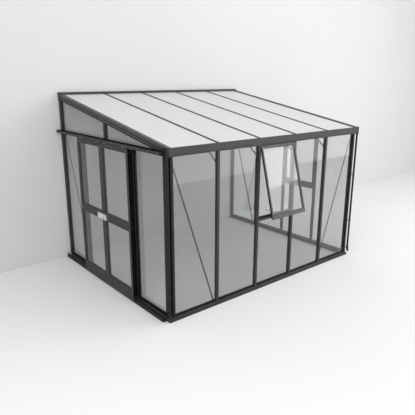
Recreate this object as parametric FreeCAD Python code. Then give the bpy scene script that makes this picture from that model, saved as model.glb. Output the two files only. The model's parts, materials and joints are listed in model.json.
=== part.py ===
import FreeCAD, Part
import math
import os

V = FreeCAD.Vector

# Module and overall size, millimetres. X along the wall, Y towards the wall, Z up.
PITCH = 735.0
FRONT_BAYS = 5
SIDE_BAYS = 4
LENGTH = PITCH * FRONT_BAYS
HALF = LENGTH / 2
DEPTH = PITCH * SIDE_BAYS
WALL_Y = 2950.0

# Clearances, and the wall of the hollow profiles
SEAT = 0.3
PIN_FIT = 0.06
WALL = 3.0

# Glazing bars: the outer box stands in front of the glass, the stem behind it
BOX_HALF = 20.0
BOX_OUT = -32.0
STEM_HALF = 14.0
STEM_IN = 20.0
WEB_HALF = 6.0
GLASS_OUT = -5.0
GLASS_IN = -1.0
POCKET_OUT = GLASS_OUT - SEAT
POCKET_IN = GLASS_IN + SEAT
PANE_EDGE = 9.0
SIDE_SHIFT = 25.0
SIDE_OUT = -57.0
SIDE_IN = -5.0
SIDE_POCKET_OUT = POCKET_OUT - SIDE_SHIFT
SIDE_POCKET_IN = POCKET_IN - SIDE_SHIFT
CORNER_POCKET = 38.0
CORNER_BACK = 57.0

# Base sill
SILL_LIP = -35.0
SILL_LIP_H = 18.0
SILL_BAND = -14.0
SILL_SLOPE_TOP = 50.0
SILL_TOP = 74.0
SILL_POCKET_Z = 61.0
FOOT_FLANGE = 42.0
FOOT_FLANGE_H = 4.0
ANCHOR_Y = 31.0
ANCHOR_R = 4.5
BAR_FOOT = 55.0

# Eave beam with gutter
EAVE_Z = 2118.0
GUTTER_TOP = 2225.0
GUTTER_OUT = -54.0
GUTTER_FLOOR = 2163.0
GUTTER_WALL = 3.0
GUTTER_END = -40.0
END_BOX_OUT = -80.0
END_BOX_IN = 6.0
EAVE_POCKET_TOP = 2145.0
EAVE_GROOVE = GUTTER_OUT + 8

# Downpipe
PIPE_X = -60.0
PIPE_Y = -36.0
PIPE_R = 16.0
PIPE_WALL = 2.0
PIPE_FOOT = 132.0
COLLAR_R = 25.0
COLLAR_TOP = 150.0
CLIP_HEIGHTS = (620.0, 1420.0)

# Roof
ROOF_ANGLE = 10.0
ROOF_Z = 2208.0
SHEET_T = 10.0
SHEET_FRONT = -25.0
SHEET_BACK = 2935.0
CAP_HALF = 17.0
CAP_TOP = 18.3
CAP_FRONT = -40.0
RAFTER_WEB = 5.0
RAFTER_DEEP = 50.0
RAFTER_BACK = 2943.7
BARGE_UNDER = -71.0
BARGE_TOP = 24.0
BARGE_FRONT = -45.0
BARGE_LEDGE = 10.0
BARGE_GROOVES = (-24.0, -62.0)
BARGE_GROOVE_DEEP = 9.0
ROOF_OVER = 120.0

# Wall plate
PLATE_FRONT = 2888.0
PLATE_LIP_GAP = 2.19
PLATE_FACE = 22.0
PLATE_FALL = 8.0
PLATE_HEIGHT = 128.0
PLATE_HOLE_UP = 24.0
PLATE_LEG_T = 6.0
ROOF_TILT = math.radians(ROOF_ANGLE)
PLATE_LIP = ROOF_Z + PLATE_FRONT * math.tan(ROOF_TILT) + CAP_TOP / math.cos(ROOF_TILT) + PLATE_LIP_GAP
PLATE_FRONT_TOP = PLATE_LIP + PLATE_FACE
PLATE_TOP = PLATE_FRONT_TOP + PLATE_FALL
PLATE_LEG = PLATE_TOP - PLATE_HEIGHT
WALL_HOLE_Z = PLATE_LEG + PLATE_HOLE_UP
PLATE_END = 62.0
WALL_HOLE_R = 3.5

# Side walls
POST_FRONT = 2900.0
HEADER_Z0 = EAVE_Z
HEADER_Z1 = HEADER_Z0 + 40.0
HEADER_POCKET = 14.0
POST_HOLES = (300.0, 2000.0)
POST_HOLE_X = -44.0
BRACE_W = 24.0
BRACE_T = 3.0

# Sliding door, measured outward (towards -X) from the side wall's grid line
LEAF_OUT = -130.0
LEAF_IN = -90.0
LEAF_FOOT = 15.0
LEAF_TOP = 2134.0
LEAF_MEET = 2 * PITCH
LEAF_LAP = 2.5
LEAF_W = PITCH + LEAF_LAP
LEAF_GAP = 0.5
JAMB_GAP = 2.0
JAMB_FIN = 12.0
STILE = 55.0
BOTTOM_RAIL_TOP = 188.0
MID_RAIL = (1020.0, 1142.0)
TOP_RAIL = 64.0
TOP_RAIL_UNDER = LEAF_TOP - TOP_RAIL
RAIL_GROOVES = (62.0, 128.0, TOP_RAIL_UNDER + 25)
SKIRT_T = 10.0
LEAF_PANE_OUT = -115.0
LEAF_PANE_IN = -111.0
LEAF_TRAVEL = 690.0
HANGER_INSET = 112.0
TRACK_OUT = -117.0
TRACK_IN = -60.5
TRACK_H = 58.0
FIN_X = -106.0
FIN_TOP = 72.0
RAIL_X = -112.5
AXLE_Z = 2159.0
RUN_R = 12.0
BEAD_R = 3.0
BEAD_Z = AXLE_Z - RUN_R - SEAT - BEAD_R
ROLLER_R = 15.0
ROLLER_HALF = 7.5
AXLE_R = 4.0
HOOD_OUT = -138.0
HOOD_TOP = 2184.0
HOOD_LEDGE = 2156.0
HOOD_LIP = 2143.0
HOOD_LEG = 2120.0
HOOD_T = 3.0
HOOD_FALL = 3.0
HOOD_STEP = 2.0
HOOD_ENDS = (8.0, 2940.0)
STOP_LEN = 22.0
HANGER_T = 3.0
HANGER_NUT = 3.7
HANGER_HALF = 28.0

# Lock
LOCK_Z0 = 1030.0
LOCK_Z1 = 1113.0
LOCK_OUT = -142.3
CASE_Y = (LEAF_MEET + 4, LEAF_MEET + 170)
KEEPER_Y = (LEAF_MEET - 85, LEAF_MEET - 4)
TURN_INSET = 62.0
TURN_Y = LEAF_MEET + TURN_INSET
BOLT_Z = (LOCK_Z0 + LOCK_Z1) / 2
BOLT_X = (-139.0, -134.0)
BOLT_HALF = 11.0
BOLT_LEN = 45.0
SPINDLE_R = 5.0

# Top-hung windows
WINDOW_RAIL = (1045.0, 1077.0)
UPSTAND_TOP = 1105.0
SASH_GAP = 5.0
SASH_W = PITCH - 2 * (BOX_HALF + SASH_GAP)
SASH_FOOT = 1097.0
SASH_IN = -5.0
SASH_RAIL = 30.0
SASH_BOTTOM_RAIL = 48.0
HINGE_Y = -26.0
HINGE_DROP = 10.0
HINGE_R = 3.0
SASH_PANE = (-18.0, -14.0)
WINDOW_OPEN = 15.0
STAY_PEG_LEAD = 3.0
STAY_LEN = 425.0
STAY_W = 13.0
STAY_T = 3.0
STAY_PIN_R = 3.0
STAY_PIVOT = (2.0, 1116.0)


def box(x0, x1, y0, y1, z0, z1):
    """Block between two opposite corners."""
    return Part.makeBox(x1 - x0, y1 - y0, z1 - z0, V(x0, y0, z0))


def loop(points, axis, start):
    """Closed wire through an outline; its pairs are the other two axes in order."""
    place = {
        "X": lambda a, b: V(start, a, b),
        "Y": lambda a, b: V(a, start, b),
        "Z": lambda a, b: V(a, b, start),
    }[axis]
    corners = [place(a, b) for a, b in points]
    return Part.makePolygon(corners + corners[:1])


def prism(points, axis, start, end, cells=()):
    """Extrude an outline along one axis; the cells are hollow chambers that run right through."""
    travel = {"X": V(end - start, 0, 0), "Y": V(0, end - start, 0), "Z": V(0, 0, end - start)}[axis]
    wires = [loop(outline, axis, start) for outline in (points, *cells)]
    return Part.makeFace(wires, "Part::FaceMakerBullseye").extrude(travel)


def cell(a0, a1, b0, b1):
    """Rectangular chamber of a profile."""
    return [(a0, b0), (a1, b0), (a1, b1), (a0, b1)]


def rod(radius, start, end):
    """Round bar between two points."""
    return Part.makeCylinder(radius, (end - start).Length, start, end - start)


def hexagon(radius, x0, x1, y, z):
    """Six-sided nut or head along X."""
    turns = [math.radians(60 * step) for step in range(6)]
    return prism([(y + radius * math.cos(t), z + radius * math.sin(t)) for t in turns], "X", x0, x1)


def join(shapes):
    """One solid from overlapping pieces."""
    return shapes[0].fuse(shapes[1:]).removeSplitter()


def group(shapes):
    """Separate solids kept in one node."""
    return Part.makeCompound(shapes)


def moved(shape, x=0.0, y=0.0, z=0.0):
    """A copy of the shape, shifted."""
    copy = shape.copy()
    copy.translate(V(x, y, z))
    return copy


def mirrored(shape):
    """The same piece at the other end of the greenhouse."""
    return shape.mirror(V(0, 0, 0), V(1, 0, 0))


def to_left(shape):
    """From coordinates at the left corner's grid line into the part frame."""
    return moved(shape, x=-HALF)


def to_right(shape):
    """The mirror image of a left-corner piece."""
    return mirrored(to_left(shape))


def to_far(shape):
    """From front-wall coordinates (outside = -Y) to the right side wall (outside = +X)."""
    turned = shape.copy()
    turned.rotate(V(0, 0, 0), V(0, 0, 1), 90)
    return moved(turned, x=HALF + SIDE_SHIFT)


def to_near(shape):
    """The same piece on the left side wall, where the door is."""
    return mirrored(to_far(shape))


def grid_x(index):
    """Grid line of the front wall in the part frame."""
    return -HALF + PITCH * index


def bevel(shape, size, test):
    """Chamfer the straight edges whose two ends pass the test."""
    edges = [e for e in shape.Edges if len(e.Vertexes) == 2 and all(test(v.Point) for v in e.Vertexes)]
    return shape.makeChamfer(size, edges)


def roof_z(y, normal=0.0):
    """Height of the plane that lies a given distance above the sheets' underside."""
    return ROOF_Z + y * math.tan(ROOF_TILT) + normal / math.cos(ROOF_TILT)


def on_roof(points, y0, y1):
    """Extrude an outline of (x, height above the sheets' underside) up the slope between two Y planes."""
    shape = prism(points, "Y", -ROOF_OVER, DEPTH * 1.1)
    shape.rotate(V(0, 0, 0), V(1, 0, 0), ROOF_ANGLE)
    shape.translate(V(0, 0, ROOF_Z))
    xs = [p[0] for p in points]
    return shape.common(box(min(xs) - 1, max(xs) + 1, y0, y1, 0, PLATE_TOP + ROOF_OVER))


def above_roof(normal):
    """Everything above a plane parallel to the roof, for cutting post tops."""
    top = normal + LENGTH
    outline = [(-LENGTH, normal), (LENGTH, normal), (LENGTH, top), (-LENGTH, top)]
    return on_roof(outline, -LENGTH, DEPTH + PITCH)


def sill_section():
    """Outline of the base sill: lip, slope, upright band, glass pocket and inner foot flange."""
    return [
        (SILL_LIP, 0),
        (SILL_LIP, SILL_LIP_H),
        (SILL_BAND, SILL_SLOPE_TOP),
        (SILL_BAND, SILL_TOP),
        (POCKET_OUT, SILL_TOP),
        (POCKET_OUT, SILL_POCKET_Z),
        (POCKET_IN, SILL_POCKET_Z),
        (POCKET_IN, SILL_TOP),
        (STEM_IN, SILL_TOP),
        (STEM_IN, FOOT_FLANGE_H),
        (FOOT_FLANGE, FOOT_FLANGE_H),
        (FOOT_FLANGE, 0),
    ]


def sill_hollow():
    """The closed cell inside the base sill."""
    wall = WALL
    return [
        (SILL_LIP + wall, wall),
        (SILL_LIP + wall, SILL_LIP_H - 1),
        (SILL_BAND + wall, SILL_SLOPE_TOP - 1),
        (SILL_BAND + wall, SILL_POCKET_Z - wall),
        (STEM_IN - wall, SILL_POCKET_Z - wall),
        (STEM_IN - wall, wall),
    ]


def sill(x0, x1):
    """A length of base sill along X."""
    return prism(sill_section(), "X", x0, x1, [sill_hollow()])


def front_sill():
    """Front sill, mitred into both side sills, with the ground anchor holes."""
    corner_x = SILL_LIP - SIDE_SHIFT
    left = -HALF + corner_x
    body = sill(left, -left)
    gap = SEAT / 2
    body = body.cut(mitre_block(left, gap)).cut(mirrored(mitre_block(left, gap)))
    for index in range(FRONT_BAYS):
        hole = Part.makeCylinder(ANCHOR_R, 2 * FOOT_FLANGE_H, V(grid_x(index + 0.5), ANCHOR_Y, -1))
        body = body.cut(hole)
    return body


def mitre_block(left, gap):
    """The corner beyond the 45 degree plane of the left mitre, seen from the front sill."""
    reach = 300.0
    start = (left - reach, SILL_LIP - reach - gap)
    end = (left + reach, SILL_LIP + reach - gap)
    return prism([start, end, (left - reach, SILL_LIP + reach)], "Z", -1, 200)


def side_sill_far():
    """Right side sill, mitred at the front corner."""
    placed = to_far(sill(SILL_LIP, WALL_Y))
    right = HALF + SIDE_SHIFT - SILL_LIP
    reach = 300.0
    gap = SEAT / 2
    start = (right + reach, SILL_LIP - reach + gap)
    end = (right - reach, SILL_LIP + reach + gap)
    return placed.cut(prism([start, end, (right - reach, SILL_LIP - reach)], "Z", -1, 200))


def bar_section():
    """Outline of a glazing bar: outer box, thin web at the glass, stem with a bolt slot."""
    right = [
        (BOX_HALF - 2, BOX_OUT),
        (BOX_HALF, BOX_OUT + 2),
        (BOX_HALF, POCKET_OUT),
        (WEB_HALF, POCKET_OUT),
        (WEB_HALF, POCKET_IN),
        (STEM_HALF, POCKET_IN),
        (STEM_HALF, STEM_IN),
        (4, STEM_IN),
        (4, STEM_IN - 4),
        (8, STEM_IN - 4),
        (8, STEM_IN - 12),
    ]
    return right + [(-x, y) for x, y in reversed(right)]


def bar(x, z0, z1, foot=None):
    """Upright glazing bar; its outer box may reach down over the sill to the foot height."""
    low = z0 if foot is None else foot
    chamber = cell(WALL - BOX_HALF, BOX_HALF - WALL, BOX_OUT + WALL, POCKET_OUT - WALL)
    body = moved(prism(bar_section(), "Z", low, z1, [chamber]), x=x)
    if foot is not None:
        body = body.cut(box(x - 30, x + 30, SILL_BAND - SEAT, STEM_IN + 1, foot - 1, z0))
    return body


def door_jamb(line, side):
    """Bar beside the doorway with a fin that reaches to the leaf's back; side points into the doorway."""
    body = bar(line, SILL_TOP + SEAT, HEADER_Z0 - SEAT, BAR_FOOT)
    back = LEAF_IN + JAMB_GAP + SIDE_SHIFT
    near = line + side * 3
    far = line + side * (3 + JAMB_FIN)
    fin = box(min(near, far), max(near, far), back, BOX_OUT + 1, TRACK_H + 10, HEADER_Z0 - SEAT)
    return join([body, fin])


def corner_post():
    """Corner post in left-corner coordinates; its outer notch holds the downpipe."""
    outline = [
        (-8, BOX_OUT), (28, BOX_OUT), (28, POCKET_OUT), (9, POCKET_OUT),
        (9, POCKET_IN), (24, POCKET_IN), (24, STEM_IN), (SIDE_IN, STEM_IN),
        (SIDE_IN, CORNER_BACK - 4), (SIDE_POCKET_IN, CORNER_BACK - 4), (SIDE_POCKET_IN, CORNER_POCKET),
        (SIDE_POCKET_OUT, CORNER_POCKET), (SIDE_POCKET_OUT, CORNER_BACK), (SIDE_OUT, CORNER_BACK),
        (SIDE_OUT, 4), (-8, 4),
    ]
    chambers = [
        cell(-8 + WALL, 28 - WALL, BOX_OUT + WALL, POCKET_OUT - WALL),
        cell(SIDE_OUT + WALL, SIDE_POCKET_OUT - WALL, 4 + WALL, CORNER_BACK - WALL),
        cell(-26, 24 - WALL, 4 + WALL, STEM_IN - WALL),
    ]
    body = prism(outline, "Z", BAR_FOOT, EAVE_Z - SEAT, chambers)
    ledge_x = SILL_BAND - SIDE_SHIFT - SEAT
    reach = CORNER_BACK + 1
    return body.cut(box(ledge_x, reach, SILL_BAND - SEAT, reach, BAR_FOOT - 1, SILL_TOP + SEAT))


def wall_post():
    """Post on the wall in front-wall coordinates, trimmed under the side rafter and the wall plate."""
    outline = [
        (POST_FRONT, BOX_OUT), (WALL_Y, BOX_OUT), (WALL_Y, STEM_IN), (POST_FRONT, STEM_IN),
        (POST_FRONT, POCKET_IN), (POST_FRONT + 12, POCKET_IN), (POST_FRONT + 12, POCKET_OUT),
        (POST_FRONT, POCKET_OUT),
    ]
    chamber = cell(POST_FRONT + 12 + WALL, WALL_Y - WALL, BOX_OUT + WALL, STEM_IN - WALL)
    body = prism(outline, "Z", BAR_FOOT, PLATE_TOP, [chamber])
    body = body.cut(box(POST_FRONT - 1, WALL_Y + 1, SILL_BAND - SEAT, STEM_IN + 1, 0, SILL_TOP + SEAT))
    hole_y = POST_HOLE_X + SIDE_SHIFT
    for z in POST_HOLES:
        body = body.cut(rod(WALL_HOLE_R, V(POST_FRONT - 1, hole_y, z), V(WALL_Y + 1, hole_y, z)))
    return body


def trim_under_roof(placed):
    """Cut a side-wall piece under the side rafter and clear of the wall plate's back leg."""
    cut = placed.cut(above_roof(BARGE_UNDER - SEAT))
    leg = WALL_Y - PLATE_LEG_T - SEAT
    return cut.cut(box(-LENGTH, LENGTH, leg, WALL_Y + 1, PLATE_LEG - SEAT, PLATE_TOP + 10))


def header():
    """Rail over the side wall's bays in front-wall coordinates, pocketed above and below;
    it starts behind the gutter, on the corner post, and its front end fits under the side rafter."""
    z0 = HEADER_Z0
    z1 = HEADER_Z1
    mid = (z0 + z1) / 2
    outline = [
        (BOX_OUT, z0), (POCKET_OUT, z0), (POCKET_OUT, z0 + HEADER_POCKET), (POCKET_IN, z0 + HEADER_POCKET),
        (POCKET_IN, z0), (STEM_IN, z0), (STEM_IN, z1), (POCKET_IN, z1),
        (POCKET_IN, z1 - HEADER_POCKET), (POCKET_OUT, z1 - HEADER_POCKET), (POCKET_OUT, z1),
        (BOX_OUT, z1), (BOX_OUT, mid + 4), (BOX_OUT + 3, mid + 2), (BOX_OUT + 3, mid - 2),
        (BOX_OUT, mid - 4),
    ]
    chambers = [
        cell(BOX_OUT + 2 * WALL, POCKET_OUT - WALL, z0 + WALL, z1 - WALL),
        cell(POCKET_IN + WALL, STEM_IN - WALL, z0 + WALL, z1 - WALL),
    ]
    return prism(outline, "X", STEM_IN + SEAT, POST_FRONT - SEAT, chambers)


def eave_gutter():
    """Eave beam and gutter in one profile, the trough open at both ends."""
    wall = GUTTER_WALL
    outline = [
        (GUTTER_OUT, GUTTER_TOP), (GUTTER_OUT, EAVE_Z + 19), (EAVE_GROOVE, EAVE_Z + 17),
        (EAVE_GROOVE, EAVE_Z + 11), (GUTTER_OUT + 2, EAVE_Z + 9), (GUTTER_OUT + 2, EAVE_Z),
        (POCKET_OUT, EAVE_Z), (POCKET_OUT, EAVE_POCKET_TOP), (POCKET_IN, EAVE_POCKET_TOP),
        (POCKET_IN, EAVE_Z), (STEM_IN, EAVE_Z),
        (STEM_IN, roof_z(STEM_IN) - SEAT), (STEM_IN - 5, roof_z(STEM_IN - 5) - SEAT),
        (STEM_IN - 5, GUTTER_FLOOR), (GUTTER_OUT + wall, GUTTER_FLOOR), (GUTTER_OUT + wall, GUTTER_TOP - 6),
        (GUTTER_OUT + 8, GUTTER_TOP - 6), (GUTTER_OUT + 8, GUTTER_TOP),
    ]
    front_cell = [
        (GUTTER_OUT + 4, EAVE_Z + 22), (EAVE_GROOVE + wall, EAVE_Z + 20), (EAVE_GROOVE + wall, EAVE_Z + 4),
        (POCKET_OUT - wall, EAVE_Z + 4), (POCKET_OUT - wall, GUTTER_FLOOR - 4),
        (GUTTER_OUT + 4, GUTTER_FLOOR - 4),
    ]
    back_cell = cell(POCKET_IN + wall, STEM_IN - wall, EAVE_Z + 4, GUTTER_FLOOR - 4)
    end = HALF - GUTTER_END
    return prism(outline, "X", -end, end, [front_cell, back_cell])


def gutter_end():
    """Moulded end box in left-corner coordinates: it closes the trough and feeds the downpipe."""
    wall = GUTTER_WALL
    x0 = END_BOX_OUT
    x1 = GUTTER_END - SEAT
    y1 = END_BOX_IN
    body = box(x0, x1, GUTTER_OUT, y1, EAVE_Z, GUTTER_TOP)
    corners = [
        e for e in body.Edges
        if all(abs(v.X - x0) < 0.1 for v in e.Vertexes) and e.Length > y1 - GUTTER_OUT + 1
    ]
    body = body.makeFillet(6, corners)
    basin = box(x0 + wall, x1 + 1, GUTTER_OUT + wall, y1 - wall, GUTTER_FLOOR, GUTTER_TOP + 1)
    under = box(x0 + wall, x1 - wall, GUTTER_OUT + wall, y1 - wall, EAVE_Z - 1, GUTTER_FLOOR - wall)
    body = body.cut(basin).cut(under)
    socket = rod(PIPE_R + SEAT + 3, V(PIPE_X, PIPE_Y, EAVE_Z - 24), V(PIPE_X, PIPE_Y, GUTTER_FLOOR - 1))
    bore = rod(PIPE_R + SEAT, V(PIPE_X, PIPE_Y, EAVE_Z - 25), V(PIPE_X, PIPE_Y, EAVE_Z))
    outlet = rod(PIPE_R - PIPE_WALL, V(PIPE_X, PIPE_Y, EAVE_Z - 25), V(PIPE_X, PIPE_Y, GUTTER_FLOOR + 1))
    body = join([body, socket]).cut(bore).cut(outlet)
    notch = cell(SIDE_OUT - SEAT, BARGE_LEDGE, -SEAT, BARGE_TOP + ROOF_OVER)
    return body.cut(on_roof(notch, BARGE_FRONT - SEAT, END_BOX_IN + 1))


def downpipe():
    """Pipe from the end box's socket down into the shoe."""
    top = EAVE_Z - 2
    outer = rod(PIPE_R, V(PIPE_X, PIPE_Y, PIPE_FOOT), V(PIPE_X, PIPE_Y, top))
    inner = rod(PIPE_R - PIPE_WALL, V(PIPE_X, PIPE_Y, PIPE_FOOT - 1), V(PIPE_X, PIPE_Y, top + 1))
    return outer.cut(inner)


def shoe_loft(radius, z_top):
    """Spout that bends from straight down to forward; lofted through four circles."""
    stations = [(0.0, z_top, 0.0), (0.0, 118.0, 0.0), (-7.0, 94.0, 24.0), (-23.0, 72.0, 45.0)]
    wires = []
    for y, z, tilt in stations:
        lean = math.radians(tilt)
        circle = Part.makeCircle(radius, V(PIPE_X, PIPE_Y + y, z), V(0, -math.sin(lean), -math.cos(lean)))
        wires.append(Part.Wire([circle]))
    return Part.makeLoft(wires, True, True)


def pipe_shoe():
    """Collar round the pipe's foot and the bent spout under it."""
    collar = rod(COLLAR_R, V(PIPE_X, PIPE_Y, PIPE_FOOT - 6), V(PIPE_X, PIPE_Y, COLLAR_TOP))
    body = join([collar, shoe_loft(19.0, PIPE_FOOT)])
    seat = rod(PIPE_R + SEAT, V(PIPE_X, PIPE_Y, PIPE_FOOT - SEAT), V(PIPE_X, PIPE_Y, COLLAR_TOP + 1))
    return body.cut(shoe_loft(16.0, PIPE_FOOT)).cut(seat)


def pipe_clip(z):
    """Strap that holds the downpipe on the corner post."""
    ring_r = PIPE_R + SEAT + 2.5
    ring = rod(ring_r, V(PIPE_X, PIPE_Y, z), V(PIPE_X, PIPE_Y, z + 16))
    arm = box(SIDE_OUT + 1, SIDE_OUT + 9, PIPE_Y + 10, 4 - SEAT, z, z + 16)
    body = join([ring, arm])
    return body.cut(rod(PIPE_R + SEAT, V(PIPE_X, PIPE_Y, z - 1), V(PIPE_X, PIPE_Y, z + 17)))


def barge():
    """Side rafter in left-corner coordinates: cap over the sheet's edge, and the ribbed bar under it
    with the pocket for the panes."""
    out = SIDE_OUT
    upper = [
        (out, 0), (out, BARGE_TOP), (-10, BARGE_TOP), (BARGE_LEDGE, CAP_TOP),
        (BARGE_LEDGE, SHEET_T + SEAT), (-20, SHEET_T + SEAT), (-20, 0),
    ]
    lower = [
        (out, -SEAT), (BARGE_LEDGE, -SEAT), (BARGE_LEDGE, -12), (SIDE_IN, -16),
        (SIDE_IN, BARGE_UNDER), (SIDE_POCKET_IN, BARGE_UNDER), (SIDE_POCKET_IN, BARGE_UNDER + 13),
        (SIDE_POCKET_OUT, BARGE_UNDER + 13), (SIDE_POCKET_OUT, BARGE_UNDER), (out, BARGE_UNDER),
    ]
    deep = out + BARGE_GROOVE_DEEP
    for middle in sorted(BARGE_GROOVES):
        lower += [(out, middle - 5), (deep, middle - 3), (deep, middle + 3), (out, middle + 5)]
    cap = on_roof(upper, BARGE_FRONT, RAFTER_BACK)
    bar_under = on_roof(lower, STEM_IN + SEAT, RAFTER_BACK)
    for chamber in (
        cell(deep + WALL, SIDE_POCKET_OUT - WALL, BARGE_UNDER + WALL, -SEAT - WALL),
        cell(SIDE_POCKET_IN + WALL, SIDE_IN - WALL, BARGE_UNDER + WALL, -18),
    ):
        bar_under = bar_under.cut(on_roof(chamber, STEM_IN, RAFTER_BACK + 1))
    under_plate = box(out - 1, BARGE_LEDGE + 1, PLATE_FRONT - SEAT, WALL_Y, PLATE_LIP - SEAT, PLATE_TOP)
    return group([cap.cut(under_plate), bar_under])


def rafter(x):
    """Inner rafter: the cap, which runs over the sheets and the gutter, and the deep bar under the sheets."""
    cap = [
        (-CAP_HALF, SHEET_T + SEAT), (-CAP_HALF, 14), (-13, CAP_TOP), (13, CAP_TOP),
        (CAP_HALF, 14), (CAP_HALF, SHEET_T + SEAT), (RAFTER_WEB, SHEET_T + SEAT),
        (RAFTER_WEB, 0), (-RAFTER_WEB, 0), (-RAFTER_WEB, SHEET_T + SEAT),
    ]
    right = [
        (CAP_HALF, -SEAT), (CAP_HALF, -4), (RAFTER_WEB, -7), (RAFTER_WEB, -36), (12, -40), (12, -RAFTER_DEEP),
    ]
    stem = right + [(-a, b) for a, b in reversed(right)]
    chamber = cell(3 - RAFTER_WEB, RAFTER_WEB - 3, 9 - RAFTER_DEEP, -SEAT - WALL)
    bar_under = on_roof(stem, STEM_IN + SEAT, RAFTER_BACK)
    bar_under = bar_under.cut(on_roof(chamber, STEM_IN, RAFTER_BACK + 1))
    return group([moved(on_roof(cap, CAP_FRONT, RAFTER_BACK), x=x), moved(bar_under, x=x)])


def roof_sheet(x0, x1):
    """One opal sheet between two rafters."""
    return on_roof([(x0, 0), (x1, 0), (x1, SHEET_T), (x0, SHEET_T)], SHEET_FRONT, SHEET_BACK)


def roof_sheets():
    """The five sheets; the outer ones run into the side rafters' slots."""
    gap = RAFTER_WEB + 2
    sheets = []
    for index in range(FRONT_BAYS):
        x0 = grid_x(index) + (gap if index else -18)
        x1 = grid_x(index + 1) - (gap if index < FRONT_BAYS - 1 else -18)
        sheets.append(roof_sheet(x0, x1))
    return sheets


def ridge_seals():
    """Soft strips that close the gap between the sheets and the wall plate's front lip."""
    seals = []
    for index in range(FRONT_BAYS):
        x0 = grid_x(index) + CAP_HALF + 1
        x1 = grid_x(index + 1) - CAP_HALF - 1
        y0 = PLATE_FRONT
        y1 = PLATE_FRONT + 8
        outline = [
            (y0, roof_z(y0, SHEET_T) + SEAT), (y1, roof_z(y1, SHEET_T) + SEAT),
            (y1, PLATE_LIP + 1), (y0 + GUTTER_WALL + SEAT, PLATE_LIP + 1),
            (y0 + GUTTER_WALL + SEAT, PLATE_LIP - SEAT), (y0, PLATE_LIP - SEAT),
        ]
        seals.append(prism(outline, "X", x0, x1))
    return seals


def wall_plate():
    """Flashing profile along the wall with a lip over the sheets and a screwed back leg."""
    leg = WALL_Y - PLATE_LEG_T
    front = PLATE_FRONT
    outline = [
        (WALL_Y, PLATE_LEG), (WALL_Y, PLATE_TOP), (front, PLATE_FRONT_TOP), (front, PLATE_LIP),
        (front + 3, PLATE_LIP), (front + 3, PLATE_FRONT_TOP - 3), (leg, PLATE_TOP - 4), (leg, PLATE_LEG),
    ]
    end = HALF + PLATE_END
    body = prism(outline, "X", -end, end)
    cheek = [(WALL_Y, PLATE_LIP), (WALL_Y, PLATE_TOP), (front, PLATE_FRONT_TOP), (front, PLATE_LIP)]
    inner = HALF - SIDE_OUT + SEAT
    parts = [body, prism(cheek, "X", -end, -inner), prism(cheek, "X", inner, end)]
    body = join(parts)
    for index in range(FRONT_BAYS):
        x = grid_x(index + 0.5)
        body = body.cut(rod(WALL_HOLE_R, V(x, leg - 1, WALL_HOLE_Z), V(x, WALL_Y + 1, WALL_HOLE_Z)))
    return body


def pane(x0, x1, z0, z1):
    """A pane in the wall's glass plane."""
    return box(x0, x1, GLASS_OUT, GLASS_IN, z0, z1)


def pane_between(line0, line1, z0, z1):
    """A pane that reaches into the pockets of two bars."""
    return pane(line0 + PANE_EDGE, line1 - PANE_EDGE, z0, z1)


def front_panes():
    """Panes of the front wall; the middle bay has one only below its window."""
    low = SILL_POCKET_Z + 2
    high = EAVE_POCKET_TOP - 8
    panes = []
    for index in range(FRONT_BAYS):
        top = high if index != FRONT_BAYS // 2 else WINDOW_RAIL[0] + 12
        panes.append(pane_between(grid_x(index) + (1 if index == 0 else 0),
                                  grid_x(index + 1) - (1 if index == FRONT_BAYS - 1 else 0), low, top))
    return panes


def side_pane(index, top):
    """A side wall pane in front-wall coordinates; the last one reaches into the wall post."""
    x0 = PITCH * index + PANE_EDGE
    if index == 0:
        x0 = CORNER_POCKET + 2
    x1 = PITCH * (index + 1) - PANE_EDGE
    if index == SIDE_BAYS - 1:
        x1 = POST_FRONT + 10
    return pane(x0, x1, SILL_POCKET_Z + 2, top)


def triangle_panes():
    """The two panes between header and side rafter, split by the stud."""
    slot = BARGE_UNDER + 12
    foot = HEADER_Z1 - HEADER_POCKET + 2
    mid = 2 * PITCH
    start = STEM_IN + PANE_EDGE
    first = [
        (start, foot), (mid - PANE_EDGE, foot), (mid - PANE_EDGE, roof_z(mid - PANE_EDGE, slot)),
        (start, roof_z(start, slot)),
    ]
    last = POST_FRONT + 10
    second = [
        (mid + PANE_EDGE, foot), (POST_FRONT - 3, foot), (POST_FRONT - 3, HEADER_Z1 + SEAT),
        (last, HEADER_Z1 + SEAT), (last, roof_z(last, slot)),
        (mid + PANE_EDGE, roof_z(mid + PANE_EDGE, slot)),
    ]
    return [turn_to_wall(first), turn_to_wall(second)]


def turn_to_wall(outline):
    """A pane outline of (along the wall, height) as a solid in front-wall coordinates."""
    return prism(outline, "Y", GLASS_OUT, GLASS_IN)


def flat_brace(x0, z0, x1, z1):
    """Flat bar behind the glazing bars between two points of the wall plane."""
    length = math.hypot(x1 - x0, z1 - z0)
    across = V(z1 - z0, 0, x0 - x1) * (BRACE_W / 2 / length)
    y = STEM_IN + SEAT
    a = V(x0, y, z0)
    b = V(x1, y, z1)
    corners = [a + across, b + across, b - across, a - across, a + across]
    return Part.Face(Part.makePolygon(corners)).extrude(V(0, BRACE_T, 0))


def knee_brace(x):
    """Strut from a front bar up to its rafter, with a foot plate and a head plate."""
    y0 = STEM_IN + SEAT
    half = 6.0
    plate = 3.0
    low = 1950.0
    high_y = 318.0
    under = -RAFTER_DEEP - SEAT
    strut = prism([
        (y0, low), (y0, low + 30),
        (high_y - 15, roof_z(high_y - 15, under)), (high_y + 15, roof_z(high_y + 15, under)),
    ], "X", x - half, x + half)
    foot = box(x - STEM_HALF, x + STEM_HALF, y0, y0 + plate, low - 22, low + 52)
    head = prism([
        (high_y - 40, roof_z(high_y - 40, under)), (high_y + 40, roof_z(high_y + 40, under)),
        (high_y + 40, roof_z(high_y + 40, under - plate)),
        (high_y - 40, roof_z(high_y - 40, under - plate)),
    ], "X", x - 12, x + 12)
    return join([strut, foot, head])


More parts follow.
